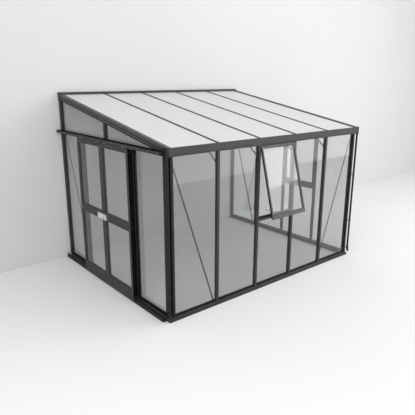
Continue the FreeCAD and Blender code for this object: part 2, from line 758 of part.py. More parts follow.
def hinge_z(window_top):
    """Height of a window's hinge line."""
    return window_top - HINGE_DROP


def head_rail(window_top):
    """Rail over a window: tongue in the glass pocket, arm, and the open channel of the sash's bead."""
    half = PITCH / 2 - BOX_HALF - SEAT
    z = hinge_z(window_top)
    tongue = box(-half, half, GLASS_OUT + SEAT, GLASS_IN - SEAT, window_top - 33, window_top + 12)
    arm = box(-half, half, HINGE_Y, GLASS_IN - SEAT, window_top - 6, window_top - 2)
    centre = V(-half, HINGE_Y, z)
    far_end = V(half, HINGE_Y, z)
    hook = rod(HINGE_R + SEAT + 2, centre, far_end)
    body = join([tongue, arm, hook]).cut(rod(HINGE_R + SEAT, centre, far_end))
    mouth = [(HINGE_Y, z)]
    for angle in (-58.0, -110.0, -166.0):
        turn = math.radians(angle)
        mouth.append((HINGE_Y + 11 * math.cos(turn), z + 11 * math.sin(turn)))
    return body.cut(prism(mouth, "X", -half - 1, half + 1))


def jamb_strips(window_top):
    """Strips in the bars' pockets that the sash closes against."""
    edge = PITCH / 2
    low = UPSTAND_TOP + SEAT
    high = window_top - 33 - SEAT
    strips = []
    for side in (-1, 1):
        outline = [
            (side * (edge - 6.5), GLASS_OUT + SEAT), (side * (edge - 46), GLASS_OUT + SEAT),
            (side * (edge - 46), 12), (side * (edge - 43), 12),
            (side * (edge - 43), GLASS_IN - SEAT), (side * (edge - 6.5), GLASS_IN - SEAT),
        ]
        strips.append(prism(outline, "Z", low, high))
    return strips


def swing(point, opening, window_top):
    """Turn a point (y, z) of the closed sash outward about the hinge line."""
    turn = math.radians(opening)
    y = point[0] - HINGE_Y
    z = point[1] - hinge_z(window_top)
    return (
        HINGE_Y + y * math.cos(turn) + z * math.sin(turn),
        hinge_z(window_top) - y * math.sin(turn) + z * math.cos(turn),
    )


def window_rail(window_top):
    """Cross rail under a window with the upstand behind the sash and the stay's peg on a bracket."""
    half = PITCH / 2 - BOX_HALF - SEAT
    z0, z1 = WINDOW_RAIL
    outline = [
        (BOX_OUT, z0), (POCKET_OUT, z0), (POCKET_OUT, z0 + 14), (POCKET_IN, z0 + 14), (POCKET_IN, z0),
        (STEM_IN, z0), (STEM_IN, z1), (1, z1), (1, UPSTAND_TOP), (GLASS_OUT + SEAT, UPSTAND_TOP),
        (GLASS_OUT + SEAT, z1), (-20, z1), (BOX_OUT, z1 - 9),
    ]
    body = prism(outline, "X", -half, half)
    peg_y, peg_z = swing(STAY_PIVOT, -STAY_PEG_LEAD, window_top)
    inner = STAY_T / 2 + 0.8
    arm = prism([
        (STEM_IN - 1, z1 - 24), (STEM_IN - 1, z1),
        (peg_y - 9, peg_z + 9), (peg_y + 9, peg_z + 9), (peg_y + 9, peg_z - 9),
    ], "X", inner, inner + 5)
    pin = rod(STAY_PIN_R, V(-inner - 1, peg_y, peg_z), V(inner + 1, peg_y, peg_z))
    head = rod(STAY_PIN_R + 2.5, V(-inner - 3, peg_y, peg_z), V(-inner, peg_y, peg_z))
    return join([body, arm, pin, head])


def sash_frame(window_top):
    """Sash frame, closed: four rails with a glass groove, bevelled inner edges, bead along the top."""
    half = SASH_W / 2
    top = hinge_z(window_top) - 8
    body = box(-half, half, BOX_OUT, SASH_IN, SASH_FOOT, top)
    inner_x = half - SASH_RAIL
    inner_z0 = SASH_FOOT + SASH_BOTTOM_RAIL
    inner_z1 = top - SASH_RAIL
    body = body.cut(box(-inner_x, inner_x, BOX_OUT - 1, 0, inner_z0, inner_z1))
    groove = 8
    body = body.cut(box(
        -inner_x - groove, inner_x + groove, SASH_PANE[0] - SEAT, SASH_PANE[1] + SEAT,
        inner_z0 - groove, inner_z1 + groove,
    ))
    body = bevel(body, 4, lambda p: (
        p.y < BOX_OUT + 0.1 and abs(p.x) < inner_x + 1 and inner_z0 - 1 < p.z < inner_z1 + 1
    ))
    for side in (-1, 1):
        edge = side * (half - 4)
        chamber = box(min(edge, edge - side * 14), max(edge, edge - side * 14),
                      BOX_OUT + WALL, SASH_IN - WALL, SASH_FOOT - 1, top - 4)
        body = body.cut(chamber)
    z = hinge_z(window_top)
    reach = half - 6
    bead = rod(HINGE_R, V(-reach, HINGE_Y, z), V(reach, HINGE_Y, z))
    neck = box(-reach, reach, HINGE_Y - 1.2, HINGE_Y + 1.2, top - 1, z)
    drip = box(-half, half, BOX_OUT, BOX_OUT + 3, SASH_FOOT - 10, SASH_FOOT + 1)
    pivot_y, pivot_z = STAY_PIVOT
    gap = STAY_T / 2 + SEAT
    lug = box(-gap - 5, -gap, SASH_IN - 1, pivot_y + 7, pivot_z - 8, pivot_z + 8)
    pin = rod(STAY_PIN_R, V(-gap - 2, pivot_y, pivot_z), V(gap, pivot_y, pivot_z))
    head = rod(STAY_PIN_R + 2.5, V(gap, pivot_y, pivot_z), V(gap + 2, pivot_y, pivot_z))
    return join([body, bead, neck, drip, lug, pin, head])


def sash_pane(window_top):
    """Pane of a closed sash."""
    half = SASH_W / 2 - SASH_RAIL + 7
    top = hinge_z(window_top) - 8 - SASH_RAIL + 7
    return box(-half, half, SASH_PANE[0], SASH_PANE[1], SASH_FOOT + SASH_BOTTOM_RAIL - 7, top)


def stay(window_top, opening):
    """Slotted bar from the sash's pin over the fixed peg, at the given opening."""
    half = STAY_W / 2
    ends = [box(-STAY_T / 2, STAY_T / 2, 0, STAY_LEN, -half, half)]
    for y in (0, STAY_LEN):
        ends.append(rod(half, V(-STAY_T / 2, y, 0), V(STAY_T / 2, y, 0)))
    body = join(ends)
    body = body.cut(rod(STAY_PIN_R + PIN_FIT, V(-STAY_T, 0, 0), V(STAY_T, 0, 0)))
    slot = STAY_PIN_R + SEAT
    y0 = 36.0
    y1 = STAY_LEN - 4
    cutter = [box(-STAY_T, STAY_T, y0, y1, -slot, slot)]
    for y in (y0, y1):
        cutter.append(rod(slot, V(-STAY_T, y, 0), V(STAY_T, y, 0)))
    body = body.cut(join(cutter))
    pivot = swing(STAY_PIVOT, opening, window_top)
    peg = swing(STAY_PIVOT, -STAY_PEG_LEAD, window_top)
    body.rotate(V(0, 0, 0), V(1, 0, 0), math.degrees(math.atan2(peg[1] - pivot[1], peg[0] - pivot[0])))
    return moved(body, y=pivot[0], z=pivot[1])


def opened(shape, window_top, opening):
    """Swing a sash piece outward about its hinge line."""
    turned = shape.copy()
    turned.rotate(V(0, HINGE_Y, hinge_z(window_top)), V(-1, 0, 0), opening)
    return turned


def leaf_frame(y0, y1):
    """Door leaf frame: stiles, three rails, glass grooves, bevels, skirt and a groove for the floor fin."""
    body = box(LEAF_OUT, LEAF_IN, y0, y1, LEAF_FOOT, LEAF_TOP)
    body = body.cut(box(LEAF_OUT + SKIRT_T, LEAF_IN + 1, y0 - 1, y1 + 1, 0, TRACK_H + 4))
    body = body.cut(box(FIN_X - 5, FIN_X + 5, y0 - 1, y1 + 1, TRACK_H, FIN_TOP + 10))
    windows = ((BOTTOM_RAIL_TOP, MID_RAIL[0]), (MID_RAIL[1], TOP_RAIL_UNDER))
    groove = 10
    for z0, z1 in windows:
        body = body.cut(box(LEAF_OUT - 1, LEAF_IN + 1, y0 + STILE, y1 - STILE, z0, z1))
        body = body.cut(box(
            LEAF_PANE_OUT - SEAT, LEAF_PANE_IN + SEAT,
            y0 + STILE - groove, y1 - STILE + groove, z0 - groove, z1 + groove,
        ))
    body = bevel(body, 5, lambda p: (
        p.x < LEAF_OUT + 0.1 and y0 + STILE - 1 < p.y < y1 - STILE + 1
        and BOTTOM_RAIL_TOP - 1 < p.z < TOP_RAIL_UNDER + 1
    ))
    for z in RAIL_GROOVES:
        body = body.cut(box(LEAF_OUT - 1, LEAF_OUT + 3, y0 - 1, y1 + 1, z, z + 5))
    return body.cut(leaf_chambers(y0, y1))


def leaf_chambers(y0, y1):
    """The connected hollow inside a leaf's stiles and rails, open at the stiles' tops."""
    x0 = LEAF_OUT + 2 * WALL
    x1 = LEAF_IN - WALL
    rail_y0 = y0 + STILE - 15
    rail_y1 = y1 - STILE + 15
    rails = ((FIN_TOP + 24, BOTTOM_RAIL_TOP - 14), (MID_RAIL[0] + 14, MID_RAIL[1] - 14),
             (TOP_RAIL_UNDER + 14, LEAF_TOP - 4))
    low = FIN_TOP + 24
    pieces = [
        box(x0, x1, y0 + 4, rail_y0 + 1, low, LEAF_TOP + 1),
        box(x0, x1, rail_y1 - 1, y1 - 4, low, LEAF_TOP + 1),
    ]
    pieces += [box(x0, x1, rail_y0, rail_y1, z0, z1) for z0, z1 in rails]
    return join(pieces)


def leaf_panes(y0, y1):
    """The two panes of a leaf."""
    side = STILE - 9
    low = box(LEAF_PANE_OUT, LEAF_PANE_IN, y0 + side, y1 - side, BOTTOM_RAIL_TOP - 9, MID_RAIL[0] + 9)
    high = box(LEAF_PANE_OUT, LEAF_PANE_IN, y0 + side, y1 - side, MID_RAIL[1] - 9, TOP_RAIL_UNDER + 9)
    return [low, high]


def hanger(y):
    """Bracket on the leaf's top with the roller's axle."""
    plate_x = LEAF_OUT + 2
    foot_z = LEAF_TOP + SEAT
    knob = AXLE_R + 2.5
    nut_x = RAIL_X + ROLLER_HALF + SEAT
    foot = box(plate_x, LEAF_IN - 7, y - HANGER_HALF, y + HANGER_HALF, foot_z, foot_z + HANGER_T)
    cheek = prism([
        (y - 24, foot_z), (y + 24, foot_z), (y + 24, foot_z + 8), (y + 11, AXLE_Z + 6),
        (y + 6, AXLE_Z + 12), (y - 6, AXLE_Z + 12), (y - 11, AXLE_Z + 6), (y - 24, foot_z + 8),
    ], "X", plate_x, plate_x + HANGER_T)
    axle = rod(AXLE_R, V(plate_x, y, AXLE_Z), V(nut_x + HANGER_NUT - 1, y, AXLE_Z))
    head = hexagon(knob, plate_x - HANGER_T, plate_x + 1, y, AXLE_Z)
    nut = hexagon(knob, nut_x, nut_x + HANGER_NUT, y, AXLE_Z)
    spacer = rod(AXLE_R + 2, V(plate_x + 2, y, AXLE_Z), V(RAIL_X - ROLLER_HALF - SEAT, y, AXLE_Z))
    return join([foot, cheek, axle, head, nut, spacer])


def roller(y):
    """Grooved wheel turned from one profile; the groove's flanks clear the rail's bead."""
    bore = AXLE_R + PIN_FIT
    flank = BEAD_R + SEAT
    edge = [(-ROLLER_HALF, bore), (-ROLLER_HALF, ROLLER_R), (-flank, ROLLER_R), (-flank, RUN_R)]
    profile = [V(x, 0, r) for x, r in edge] + [V(-x, 0, r) for x, r in reversed(edge)]
    wheel = Part.Face(Part.makePolygon(profile + profile[:1]))
    wheel = wheel.revolve(V(0, 0, 0), V(1, 0, 0), 360)
    return moved(wheel, x=RAIL_X, y=y, z=AXLE_Z)


def door_hood():
    """Hood over the door with the beaded rail that carries the rollers."""
    leg = SIDE_OUT - SEAT
    t = HOOD_T
    arm = BEAD_Z - 3.7
    face = HOOD_OUT + HOOD_STEP
    outline = [
        (leg, HOOD_LEG), (leg, HOOD_TOP), (face, HOOD_TOP - HOOD_FALL), (face, HOOD_LEDGE + HOOD_STEP),
        (HOOD_OUT, HOOD_LEDGE), (HOOD_OUT, HOOD_LIP), (face + t, HOOD_LIP),
        (face + t, HOOD_TOP - HOOD_FALL - t), (leg - t, HOOD_TOP - t), (leg - t, arm + t), (RAIL_X, arm + t),
        (RAIL_X, arm), (leg - t, arm), (leg - t, HOOD_LEG),
    ]
    y0, y1 = HOOD_ENDS
    body = prism(outline, "Y", y0, y1)
    bead = rod(BEAD_R, V(RAIL_X, y0, BEAD_Z), V(RAIL_X, y1, BEAD_Z))
    return join([body, bead])


def rail_stop(y):
    """End stop over the rail."""
    leg = SIDE_OUT - SEAT - HOOD_T - SEAT
    low = BEAD_Z + BEAD_R + SEAT
    return box(RAIL_X - 8, leg, y, y + STOP_LEN, low, low + 25)


def floor_track():
    """Track beside and under the door: front face, guide fin and the step on the sill."""
    y0, y1 = 43.0, WALL_Y
    outline = [
        (TRACK_OUT, 0), (TRACK_OUT, TRACK_H), (TRACK_OUT + 4, TRACK_H), (TRACK_OUT + 4, 4),
        (FIN_X - 2, 4), (FIN_X - 2, FIN_TOP - 1), (FIN_X - 1, FIN_TOP), (FIN_X + 1, FIN_TOP),
        (FIN_X + 2, FIN_TOP - 1), (FIN_X + 2, 4), (TRACK_IN - 4, 4), (TRACK_IN - 4, 17), (TRACK_IN, 17),
        (TRACK_IN, 0),
    ]
    return prism(outline, "Y", y0, y1)


def rounded_plate(x0, x1, y0, y1, z0, z1, radius):
    """Block with its four corners seen from the side wall rounded."""
    body = box(x0, x1, y0, y1, z0, z1)
    edges = [e for e in body.Edges if abs(e.Vertexes[0].X - e.Vertexes[1].X) > 1]
    return body.makeFillet(radius, edges)


def lock_case():
    """Lock case on the wall-side leaf with the bolt's channel, a boss for the thumb turn and a key slot."""
    back = LEAF_OUT - SEAT
    y0, y1 = CASE_Y
    body = rounded_plate(LOCK_OUT, back, y0, y1, LOCK_Z0, LOCK_Z1, 6)
    boss = rod(15.0, V(LOCK_OUT - 1.5, TURN_Y, BOLT_Z), V(LOCK_OUT + 1, TURN_Y, BOLT_Z))
    body = join([body, boss])
    half = BOLT_HALF + SEAT
    channel = box(
        BOLT_X[0] - SEAT, BOLT_X[1] + SEAT, y0 - 1, y0 + 1 + BOLT_LEN + SEAT, BOLT_Z - half, BOLT_Z + half,
    )
    body = body.cut(channel)
    bore = rod(SPINDLE_R + PIN_FIT, V(LOCK_OUT - 2, TURN_Y, BOLT_Z), V(LOCK_OUT + 4, TURN_Y, BOLT_Z))
    body = body.cut(bore)
    key_y = TURN_Y + 55
    slot = join([
        rod(4.5, V(LOCK_OUT - 1, key_y, BOLT_Z + 5), V(LOCK_OUT + 4, key_y, BOLT_Z + 5)),
        box(LOCK_OUT - 1, LOCK_OUT + 4, key_y - 2, key_y + 2, BOLT_Z - 12, BOLT_Z + 5),
    ])
    return body.cut(slot)


def lock_keeper():
    """Keeper on the other leaf with the pocket that takes the bolt."""
    y0, y1 = KEEPER_Y
    body = rounded_plate(LOCK_OUT, LEAF_OUT - SEAT, y0, y1, LOCK_Z0, LOCK_Z1, 6)
    pocket = box(
        BOLT_X[0] - 0.5, BOLT_X[1] + 0.5, y1 - 18, y1 + 1, BOLT_Z - BOLT_HALF - 1, BOLT_Z + BOLT_HALF + 1
    )
    return body.cut(pocket)


def thumb_turn():
    """Turn knob: round base, wing and spindle, one piece."""
    face = LOCK_OUT - 1.5 - SEAT
    base = rod(12.0, V(face - 4, TURN_Y, BOLT_Z), V(face, TURN_Y, BOLT_Z))
    spindle = rod(SPINDLE_R, V(face - 1, TURN_Y, BOLT_Z), V(LOCK_OUT + 3, TURN_Y, BOLT_Z))
    wing = rounded_plate(face - 16, face - 3, TURN_Y - 3.5, TURN_Y + 3.5, BOLT_Z - 17, BOLT_Z + 17, 3)
    return join([base, spindle, wing])


def lock_bolt():
    """Bolt, drawn back at rest."""
    y0 = CASE_Y[0] + 1
    return box(BOLT_X[0], BOLT_X[1], y0, y0 + BOLT_LEN, BOLT_Z - BOLT_HALF, BOLT_Z + BOLT_HALF)


def frame_nodes():
    """Sills, posts, bars, headers, beam, rafters and wall plate."""
    far_post = trim_under_roof(to_far(wall_post()))
    stud = bar(2 * PITCH, HEADER_Z1 + SEAT, PLATE_TOP)
    far_stud = trim_under_roof(to_far(stud))
    far_header = trim_under_roof(to_far(header()))
    low = SILL_TOP + SEAT
    under_header = HEADER_Z0 - SEAT
    sill_far = side_sill_far()
    front_bars = [bar(grid_x(i), low, EAVE_Z - SEAT, BAR_FOOT) for i in range(1, FRONT_BAYS)]
    jambs = [to_near(door_jamb(PITCH, 1)), to_near(door_jamb(PITCH * 3, -1))]
    far_bars = [to_far(bar(PITCH * i, low, under_header, BAR_FOOT)) for i in (1, 2, 3)]
    nodes = {
        "base_sill_front": front_sill(),
        "base_sill_near": mirrored(sill_far),
        "base_sill_far": sill_far,
        "corner_post_left": to_left(corner_post()),
        "corner_post_right": to_right(corner_post()),
        "wall_post_near": mirrored(far_post),
        "wall_post_far": far_post,
        "front_bars": group(front_bars),
        "door_jambs": group(jambs),
        "far_bars": group(far_bars),
        "gable_studs": group([mirrored(far_stud), far_stud]),
        "gable_header_near": mirrored(far_header),
        "gable_header_far": far_header,
        "eave_gutter": eave_gutter(),
        "gutter_ends": group([to_left(gutter_end()), to_right(gutter_end())]),
        "downpipes": group([side(p) for p in (downpipe(), pipe_shoe()) for side in (to_left, to_right)]),
        "pipe_clips": group([side(pipe_clip(z)) for z in CLIP_HEIGHTS for side in (to_left, to_right)]),
        "gable_rafter_near": to_left(barge()),
        "gable_rafter_far": to_right(barge()),
        "wall_plate": wall_plate(),
        "ridge_seals": group(ridge_seals()),
        "knee_braces": group([knee_brace(grid_x(i)) for i in range(1, FRONT_BAYS)]),
        "wind_braces": group(wind_braces()),
    }
    for index in range(1, FRONT_BAYS):
        nodes["rafter_%d" % index] = rafter(grid_x(index))
    return nodes


def wind_braces():
    """Flat diagonal bars in the outer front bays and in the side bays next to the wall."""
    top = EAVE_Z - 18
    foot = 45.0
    front = flat_brace(grid_x(0) + 20, top, grid_x(1) - 30, foot)
    side = flat_brace(POST_FRONT + 5, HEADER_Z0 + 30, 3 * PITCH + 30, foot)
    return [front, mirrored(front), to_far(side), to_near(side)]


def glazing_nodes():
    """All fixed panes and sheets."""
    side_top = HEADER_Z0 + HEADER_POCKET - 2
    low_top = WINDOW_RAIL[0] + 12
    far = [side_pane(0, side_top), side_pane(1, low_top), side_pane(2, side_top), side_pane(3, side_top)]
    near = [side_pane(0, side_top), side_pane(3, side_top)]
    triangles = triangle_panes()
    return {
        "roof_sheets": group(roof_sheets()),
        "front_glass": group(front_panes()),
        "near_glass": group([to_near(p) for p in near]),
        "far_glass": group([to_far(p) for p in far]),
        "gable_glass": group([side(p) for p in triangles for side in (to_near, to_far)]),
    }


def window_nodes():
    """The front window (middle bay, standing open) and the right side wall's window (closed)."""
    side_at = PITCH * 1.5
    top = EAVE_Z
    side_top = HEADER_Z0

    def at_side(shape):
        return to_far(moved(shape, x=side_at))

    strips = jamb_strips(top) + [at_side(s) for s in jamb_strips(side_top)]
    return {
        "front_window_rail": window_rail(top),
        "front_window_head": head_rail(top),
        "far_window_rail": at_side(window_rail(side_top)),
        "far_window_head": at_side(head_rail(side_top)),
        "window_jambs": group(strips),
        "front_sash": opened(sash_frame(top), top, WINDOW_OPEN),
        "front_sash_glass": opened(sash_pane(top), top, WINDOW_OPEN),
        "front_stay": stay(top, WINDOW_OPEN),
        "far_sash": at_side(sash_frame(side_top)),
        "far_sash_glass": at_side(sash_pane(side_top)),
        "far_stay": at_side(stay(side_top, 0)),
    }


def door_nodes():
    """The two leaves with all that travels on them, the hood with its rail and the floor track."""
    wall_leaf = (LEAF_MEET + LEAF_GAP, LEAF_MEET + LEAF_W)
    front_leaf = (LEAF_MEET - LEAF_W, LEAF_MEET - LEAF_GAP)
    spots = {
        "wall": (wall_leaf[0] + HANGER_INSET, wall_leaf[1] - HANGER_INSET),
        "front": (front_leaf[1] - HANGER_INSET, front_leaf[0] + HANGER_INSET),
    }
    reach = LEAF_TRAVEL + 31
    stops = [rail_stop(spots["wall"][1] + reach), rail_stop(spots["front"][1] - reach - STOP_LEN)]
    nodes = {
        "door_hood": to_left(door_hood()),
        "rail_stops": group([to_left(s) for s in stops]),
        "door_floor_track": to_left(floor_track()),
        "door_frame_wall": to_left(leaf_frame(*wall_leaf)),
        "door_frame_front": to_left(leaf_frame(*front_leaf)),
        "door_glass_wall": group([to_left(p) for p in leaf_panes(*wall_leaf)]),
        "door_glass_front": group([to_left(p) for p in leaf_panes(*front_leaf)]),
        "lock_case": to_left(lock_case()),
        "lock_keeper": to_left(lock_keeper()),
        "thumb_turn": to_left(thumb_turn()),
        "lock_bolt": to_left(lock_bolt()),
    }
    for leaf, places in spots.items():
        nodes["hangers_" + leaf] = group([to_left(hanger(y)) for y in places])
        for index, y in enumerate(places, 1):
            nodes["roller_%s_%d" % (leaf, index)] = to_left(roller(y))
    return nodes


def main():
    os.makedirs("parts", exist_ok=True)
    nodes = {}
    nodes.update(frame_nodes())
    nodes.update(glazing_nodes())
    nodes.update(window_nodes())
    nodes.update(door_nodes())
    for name, shape in nodes.items():
        if not shape.isValid():
            raise ValueError("bad solid: " + name)
        shape.exportStep("parts/" + name + ".step")
        print(name, len(shape.Solids), round(shape.Volume / 1000))
    print(len(nodes), "nodes")


main()
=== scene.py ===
"""Looks of the lean-to greenhouse: procedural materials on the frame's nodes, and the fine parts built here
(fluted roof sheets, glazing gaskets, seals, strips, trims, end plates, bolts, screws) as numpy surfaces."""
import json
import math

import bpy
import numpy as np
from mathutils import Matrix, Vector


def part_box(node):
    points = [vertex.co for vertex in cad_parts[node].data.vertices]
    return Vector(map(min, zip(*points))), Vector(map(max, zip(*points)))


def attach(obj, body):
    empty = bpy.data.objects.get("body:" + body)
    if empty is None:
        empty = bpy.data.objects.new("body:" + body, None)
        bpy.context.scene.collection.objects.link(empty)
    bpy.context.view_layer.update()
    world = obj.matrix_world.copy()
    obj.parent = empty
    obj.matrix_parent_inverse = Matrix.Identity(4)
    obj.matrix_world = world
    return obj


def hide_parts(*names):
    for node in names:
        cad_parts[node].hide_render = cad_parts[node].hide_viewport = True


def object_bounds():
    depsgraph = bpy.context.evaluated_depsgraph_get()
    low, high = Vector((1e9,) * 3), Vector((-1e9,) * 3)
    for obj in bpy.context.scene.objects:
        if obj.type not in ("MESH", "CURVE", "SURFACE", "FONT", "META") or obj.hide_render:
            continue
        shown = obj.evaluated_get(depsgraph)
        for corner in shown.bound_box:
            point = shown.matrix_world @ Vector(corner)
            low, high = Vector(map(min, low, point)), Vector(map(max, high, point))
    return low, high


bl_info = {
    "name": "Lean-to greenhouse looks",
    "version": (1, 0, 0),
    "blender": (4, 5, 0),
    "location": "View3D > Sidebar > Greenhouse",
    "description": "Builds the fine parts, materials and stage of the lean-to greenhouse",
    "category": "Object",
}

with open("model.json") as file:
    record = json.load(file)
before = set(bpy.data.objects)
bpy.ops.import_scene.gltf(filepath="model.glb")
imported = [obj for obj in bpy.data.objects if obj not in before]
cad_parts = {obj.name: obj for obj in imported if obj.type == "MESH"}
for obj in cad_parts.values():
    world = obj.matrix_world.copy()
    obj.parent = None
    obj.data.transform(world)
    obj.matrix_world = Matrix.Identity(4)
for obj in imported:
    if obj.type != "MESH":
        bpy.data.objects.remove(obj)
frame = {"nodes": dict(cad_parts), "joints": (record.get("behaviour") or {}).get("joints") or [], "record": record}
START_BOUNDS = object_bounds()
ROOT = "frame"

# X runs along the front, Y from the front to the wall, Z upward
ALONG, INWARD, UP = np.eye(3)

# Lengths in metres that several pieces share: a strip's foot above its face, and the roof sheets' thickness
SKIM = 0.0001
SHEET = 0.010

# How surfaces are shaded and divided: crease angles in degrees, points per flute, rows and share of a
# plate's rolled edge, points round a screw head, and the level part under which a normal counts as upright
CREASE = 32.0
FLUTE_CREASE = 60.0
RIB_CREASE = 50.0
FLUTE_POINTS = 4
ROLL_ROWS = 4
ROLL_SHARE = 0.45
HEAD_SIDES = 12
NEARLY_UPRIGHT = 0.05

# Screw heads: rows of (radius, height) per unit of the head's radius, and the rows that follow six flats
HEXAGON_HEAD = ((1.75, 0.0), (1.75, 0.22), (1.05, 0.22), (1.05, 0.85), (0.86, 1.0)), (2, 3)
PAN_HEAD = ((1.0, 0.0), (1.0, 0.22), (0.90, 0.45), (0.66, 0.58), (0.46, 0.60), (0.40, 0.20)), (4, 5)
SMALLER = 0.8

# The inner rafters, the numbers of the bays with fixed side glass, and those with a window
RAFTERS = ("rafter_1", "rafter_2", "rafter_3", "rafter_4")
FAR_BAYS = (0, 1, 2, 3)
NEAR_BAYS = (0, 3)
FRONT_WINDOW_BAY = 2
FAR_WINDOW_BAY = 1

# The studio: extents and clearance in metres; the wall's painted shade: how much its colour darkens towards
# the left, for the shadow beside the greenhouse, and the X between which it happens; and the world's strength
# as a light
FLOOR_X = (-9.0, 16.0)
FLOOR_Y = (-6.2, 10.0)
WALL_TOP = 9.0
STAGE_GAP = 0.001
WALL_PAINTED_SHADE = 0.12
PAINTED_SHADE_X = (-4.0, 6.0)
WORLD_LIGHT = 0.72

# Lamps: name, place, aim, size, power in watts, and whether the lamp is a card
LAMPS = (
    ("key", (6.5, -5.5, 5.5), (0.0, 1.0, 0.8), (6.0, 6.0), 330.0, False),
    ("top", (1.5, -1.5, 8.0), (0.5, 1.0, 0.0), (7.0, 7.0), 100.0, False),
    ("fill", (-7.0, -4.5, 5.5), (-1.5, 1.0, 0.0), (4.5, 4.5), 270.0, False),
    ("card_front", (6.0, -6.3, 2.0), (6.0, 0.0, 2.0), (16.0, 4.0), 310.0, True),
    ("card_left", (-9.1, 1.5, 2.0), (0.0, 1.5, 2.0), (9.0, 4.0), 60.0, True),
)

# The photograph's camera: place, degrees to the side, down and rolled, focal length and sensor in millimetres
CAMERA_PLACE = (-4.9071, -4.3996, 3.0050)
CAMERA_ANGLES = (39.6536, 15.6565, 0.1234)
CAMERA_LENS = 40.418
CAMERA_SENSOR = 36.0
CAMERA_REACH = 200.0

# Materials: dust's colour and its most on a coat, the opal sheet's light that passes through, and how much
# stronger one mirroring face has to be to stand for two
DUST = (0.11, 0.11, 0.11)
MOST_DUST = 0.12
GLOW_SHARE = 0.12
MIRROR_GAIN = 1.5
WHITE = (1.0, 1.0, 1.0, 1.0)

# Materials by look, the slot of a look whose name differs, and the nodes whose coat is deeper or paler:
# darker and lighter copies of the frame's one powder coat, painted shade and painted light on those profiles
MATERIALS = {}
PAINTED_SHADE_AND_LIGHT_COATS = {
    **dict.fromkeys(("corner_post_left", "corner_post_right", "door_floor_track", "base_sill_front"), "deep"),
    **dict.fromkeys(("base_sill_near", "base_sill_far", "front_sash", "far_sash", "gable_rafter_near",
                     "gable_rafter_far"), "pale"),
}


# Surfaces: every shape is a stack of rings, a numpy array of shape (rings, points, 3)

def skin(rings, closed=False):
    """Joins each ring to the next with quads. A closed stack joins its last ring to its first,
    an open one gets a face over each end. Faces are turned outward by the sign of the volume."""
    rings = np.asarray(rings, float)
    count, around = rings.shape[:2]
    i = np.arange(count if closed else count - 1)[:, None]
    j = np.arange(around)[None, :]
    ahead = (i + 1) % count
    beside = (j + 1) % around
    quads = np.stack([i * around + j, i * around + beside, ahead * around + beside, ahead * around + j], -1)
    quads = quads.reshape(-1, 4)
    verts = rings.reshape(-1, 3)
    ends = []
    if not closed:
        first = np.arange(around)
        ends = [first[::-1], first + (count - 1) * around]
    fans = [np.stack([np.repeat(end[0], len(end) - 2), end[1:-1], end[2:]], -1) for end in ends]
    triangles = np.concatenate([quads[:, :3], quads[:, [0, 2, 3]], *fans])
    if np.linalg.det(verts[triangles] - verts.mean(0)).sum() < 0:
        quads = quads[:, ::-1]
        ends = [end[::-1] for end in ends]
    return verts, quads, ends


def copies(shell, places, turns):
    """The same shell at many places: all corner arrays are turned and shifted in one product."""
    verts, quads, ends = shell
    places = np.asarray(places, float)
    every = np.einsum("nij,vj->nvi", np.asarray(turns, float), verts) + places[:, None, :]
    step = np.arange(len(places))[:, None, None] * len(verts)
    more = [end + n * len(verts) for n in range(len(places)) for end in ends]
    return every.reshape(-1, 3), (quads[None] + step).reshape(-1, 4), more


def add_object(name, data):
    """A new object in the scene."""
    made = bpy.data.objects.new(name, data)
    bpy.context.scene.collection.objects.link(made)
    return made


def build(name, shells, look, body=ROOT, crease=CREASE):
    """Makes one object of the shells at the origin, shades it smooth below the crease angle, gives it the
    look's material and slot and lets it ride on a body."""
    verts = np.concatenate([shell[0] for shell in shells])
    starts = np.cumsum([0] + [len(shell[0]) for shell in shells[:-1]])
    faces = [face for shell, start in zip(shells, starts) for face in (shell[1] + start).tolist()]
    faces += [(end + start).tolist() for shell, start in zip(shells, starts) for end in shell[2]]
    mesh = bpy.data.meshes.new(name)
    mesh.from_pydata(verts.tolist(), [], faces)
    mesh.polygons.foreach_set("use_smooth", np.ones(len(mesh.polygons), bool))
    mesh.set_sharp_from_angle(angle=math.radians(crease))
    mesh.materials.append(MATERIALS[look])
    mesh.update()
    piece = add_object(name, mesh)
    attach(piece, body)
    return piece


def axes_for(normal):
    """Turning matrix whose third column is the unit normal; the first lies level where it can."""
    level = np.cross(UP, normal)
    size = np.linalg.norm(level)
    first = level / size if size > NEARLY_UPRIGHT else ALONG
    return np.column_stack([first, np.cross(normal, first), normal])


def inset_rows(outline, normal, pairs):
    """The corners of a flat outline once per pair of (distance inward from its sides, height along the
    normal). Each corner moves along the line between its two sides."""
    corner = outline - np.mean(outline, 0)
    along = np.roll(corner, -1, 0) - corner
    along /= np.linalg.norm(along, axis=1)[:, None]
    inward = np.cross(normal, along)
    if (np.cross(corner, np.roll(corner, -1, 0)) @ normal).sum() < 0:
        inward = -inward
    before = np.roll(inward, 1, 0)
    step = (inward + before) / (1 + np.einsum("ij,ij->i", inward, before))[:, None]
    depth, height = np.transpose(pairs)[:, :, None, None]
    return outline + depth * step + height * normal


def frame_run(outline, normal, section):
    """A section of such pairs carried round a closed flat outline with mitred corners."""
    return skin(np.swapaxes(inset_rows(outline, normal, section), 0, 1), closed=True)


def plate(outline, normal, thickness):
    """A flat plate on an outline, its upper edge rolled in along a quarter circle."""
    turn = np.linspace(0, math.pi / 2, ROLL_ROWS)
    edge = thickness * ROLL_SHARE
    rolled = np.stack([edge * (1 - np.cos(turn)), thickness - edge + edge * np.sin(turn)], -1)
    return skin(inset_rows(outline, normal, [(0, 0), *rolled]))


def run(section, start, end, side, up):
    """A closed section of (side, up) pairs carried from start to end."""
    section = np.asarray(section, float)
    flat = section[:, :1] * np.asarray(side, float) + section[:, 1:] * np.asarray(up, float)
    return skin(np.array([start, end], float)[:, None] + flat[None])


def strip_run(start, end, out, across, width):
    """A flat strip with soft long edges, from start to end: it stands off a face along out and reaches over
    the width along across."""
    thick = sizes().strip
    soft = thick * 0.5
    section = [(0, SKIM), (0, soft), (soft, thick), (width - soft, thick), (width, soft), (width, SKIM)]
    return run(section, start, end, across, out)


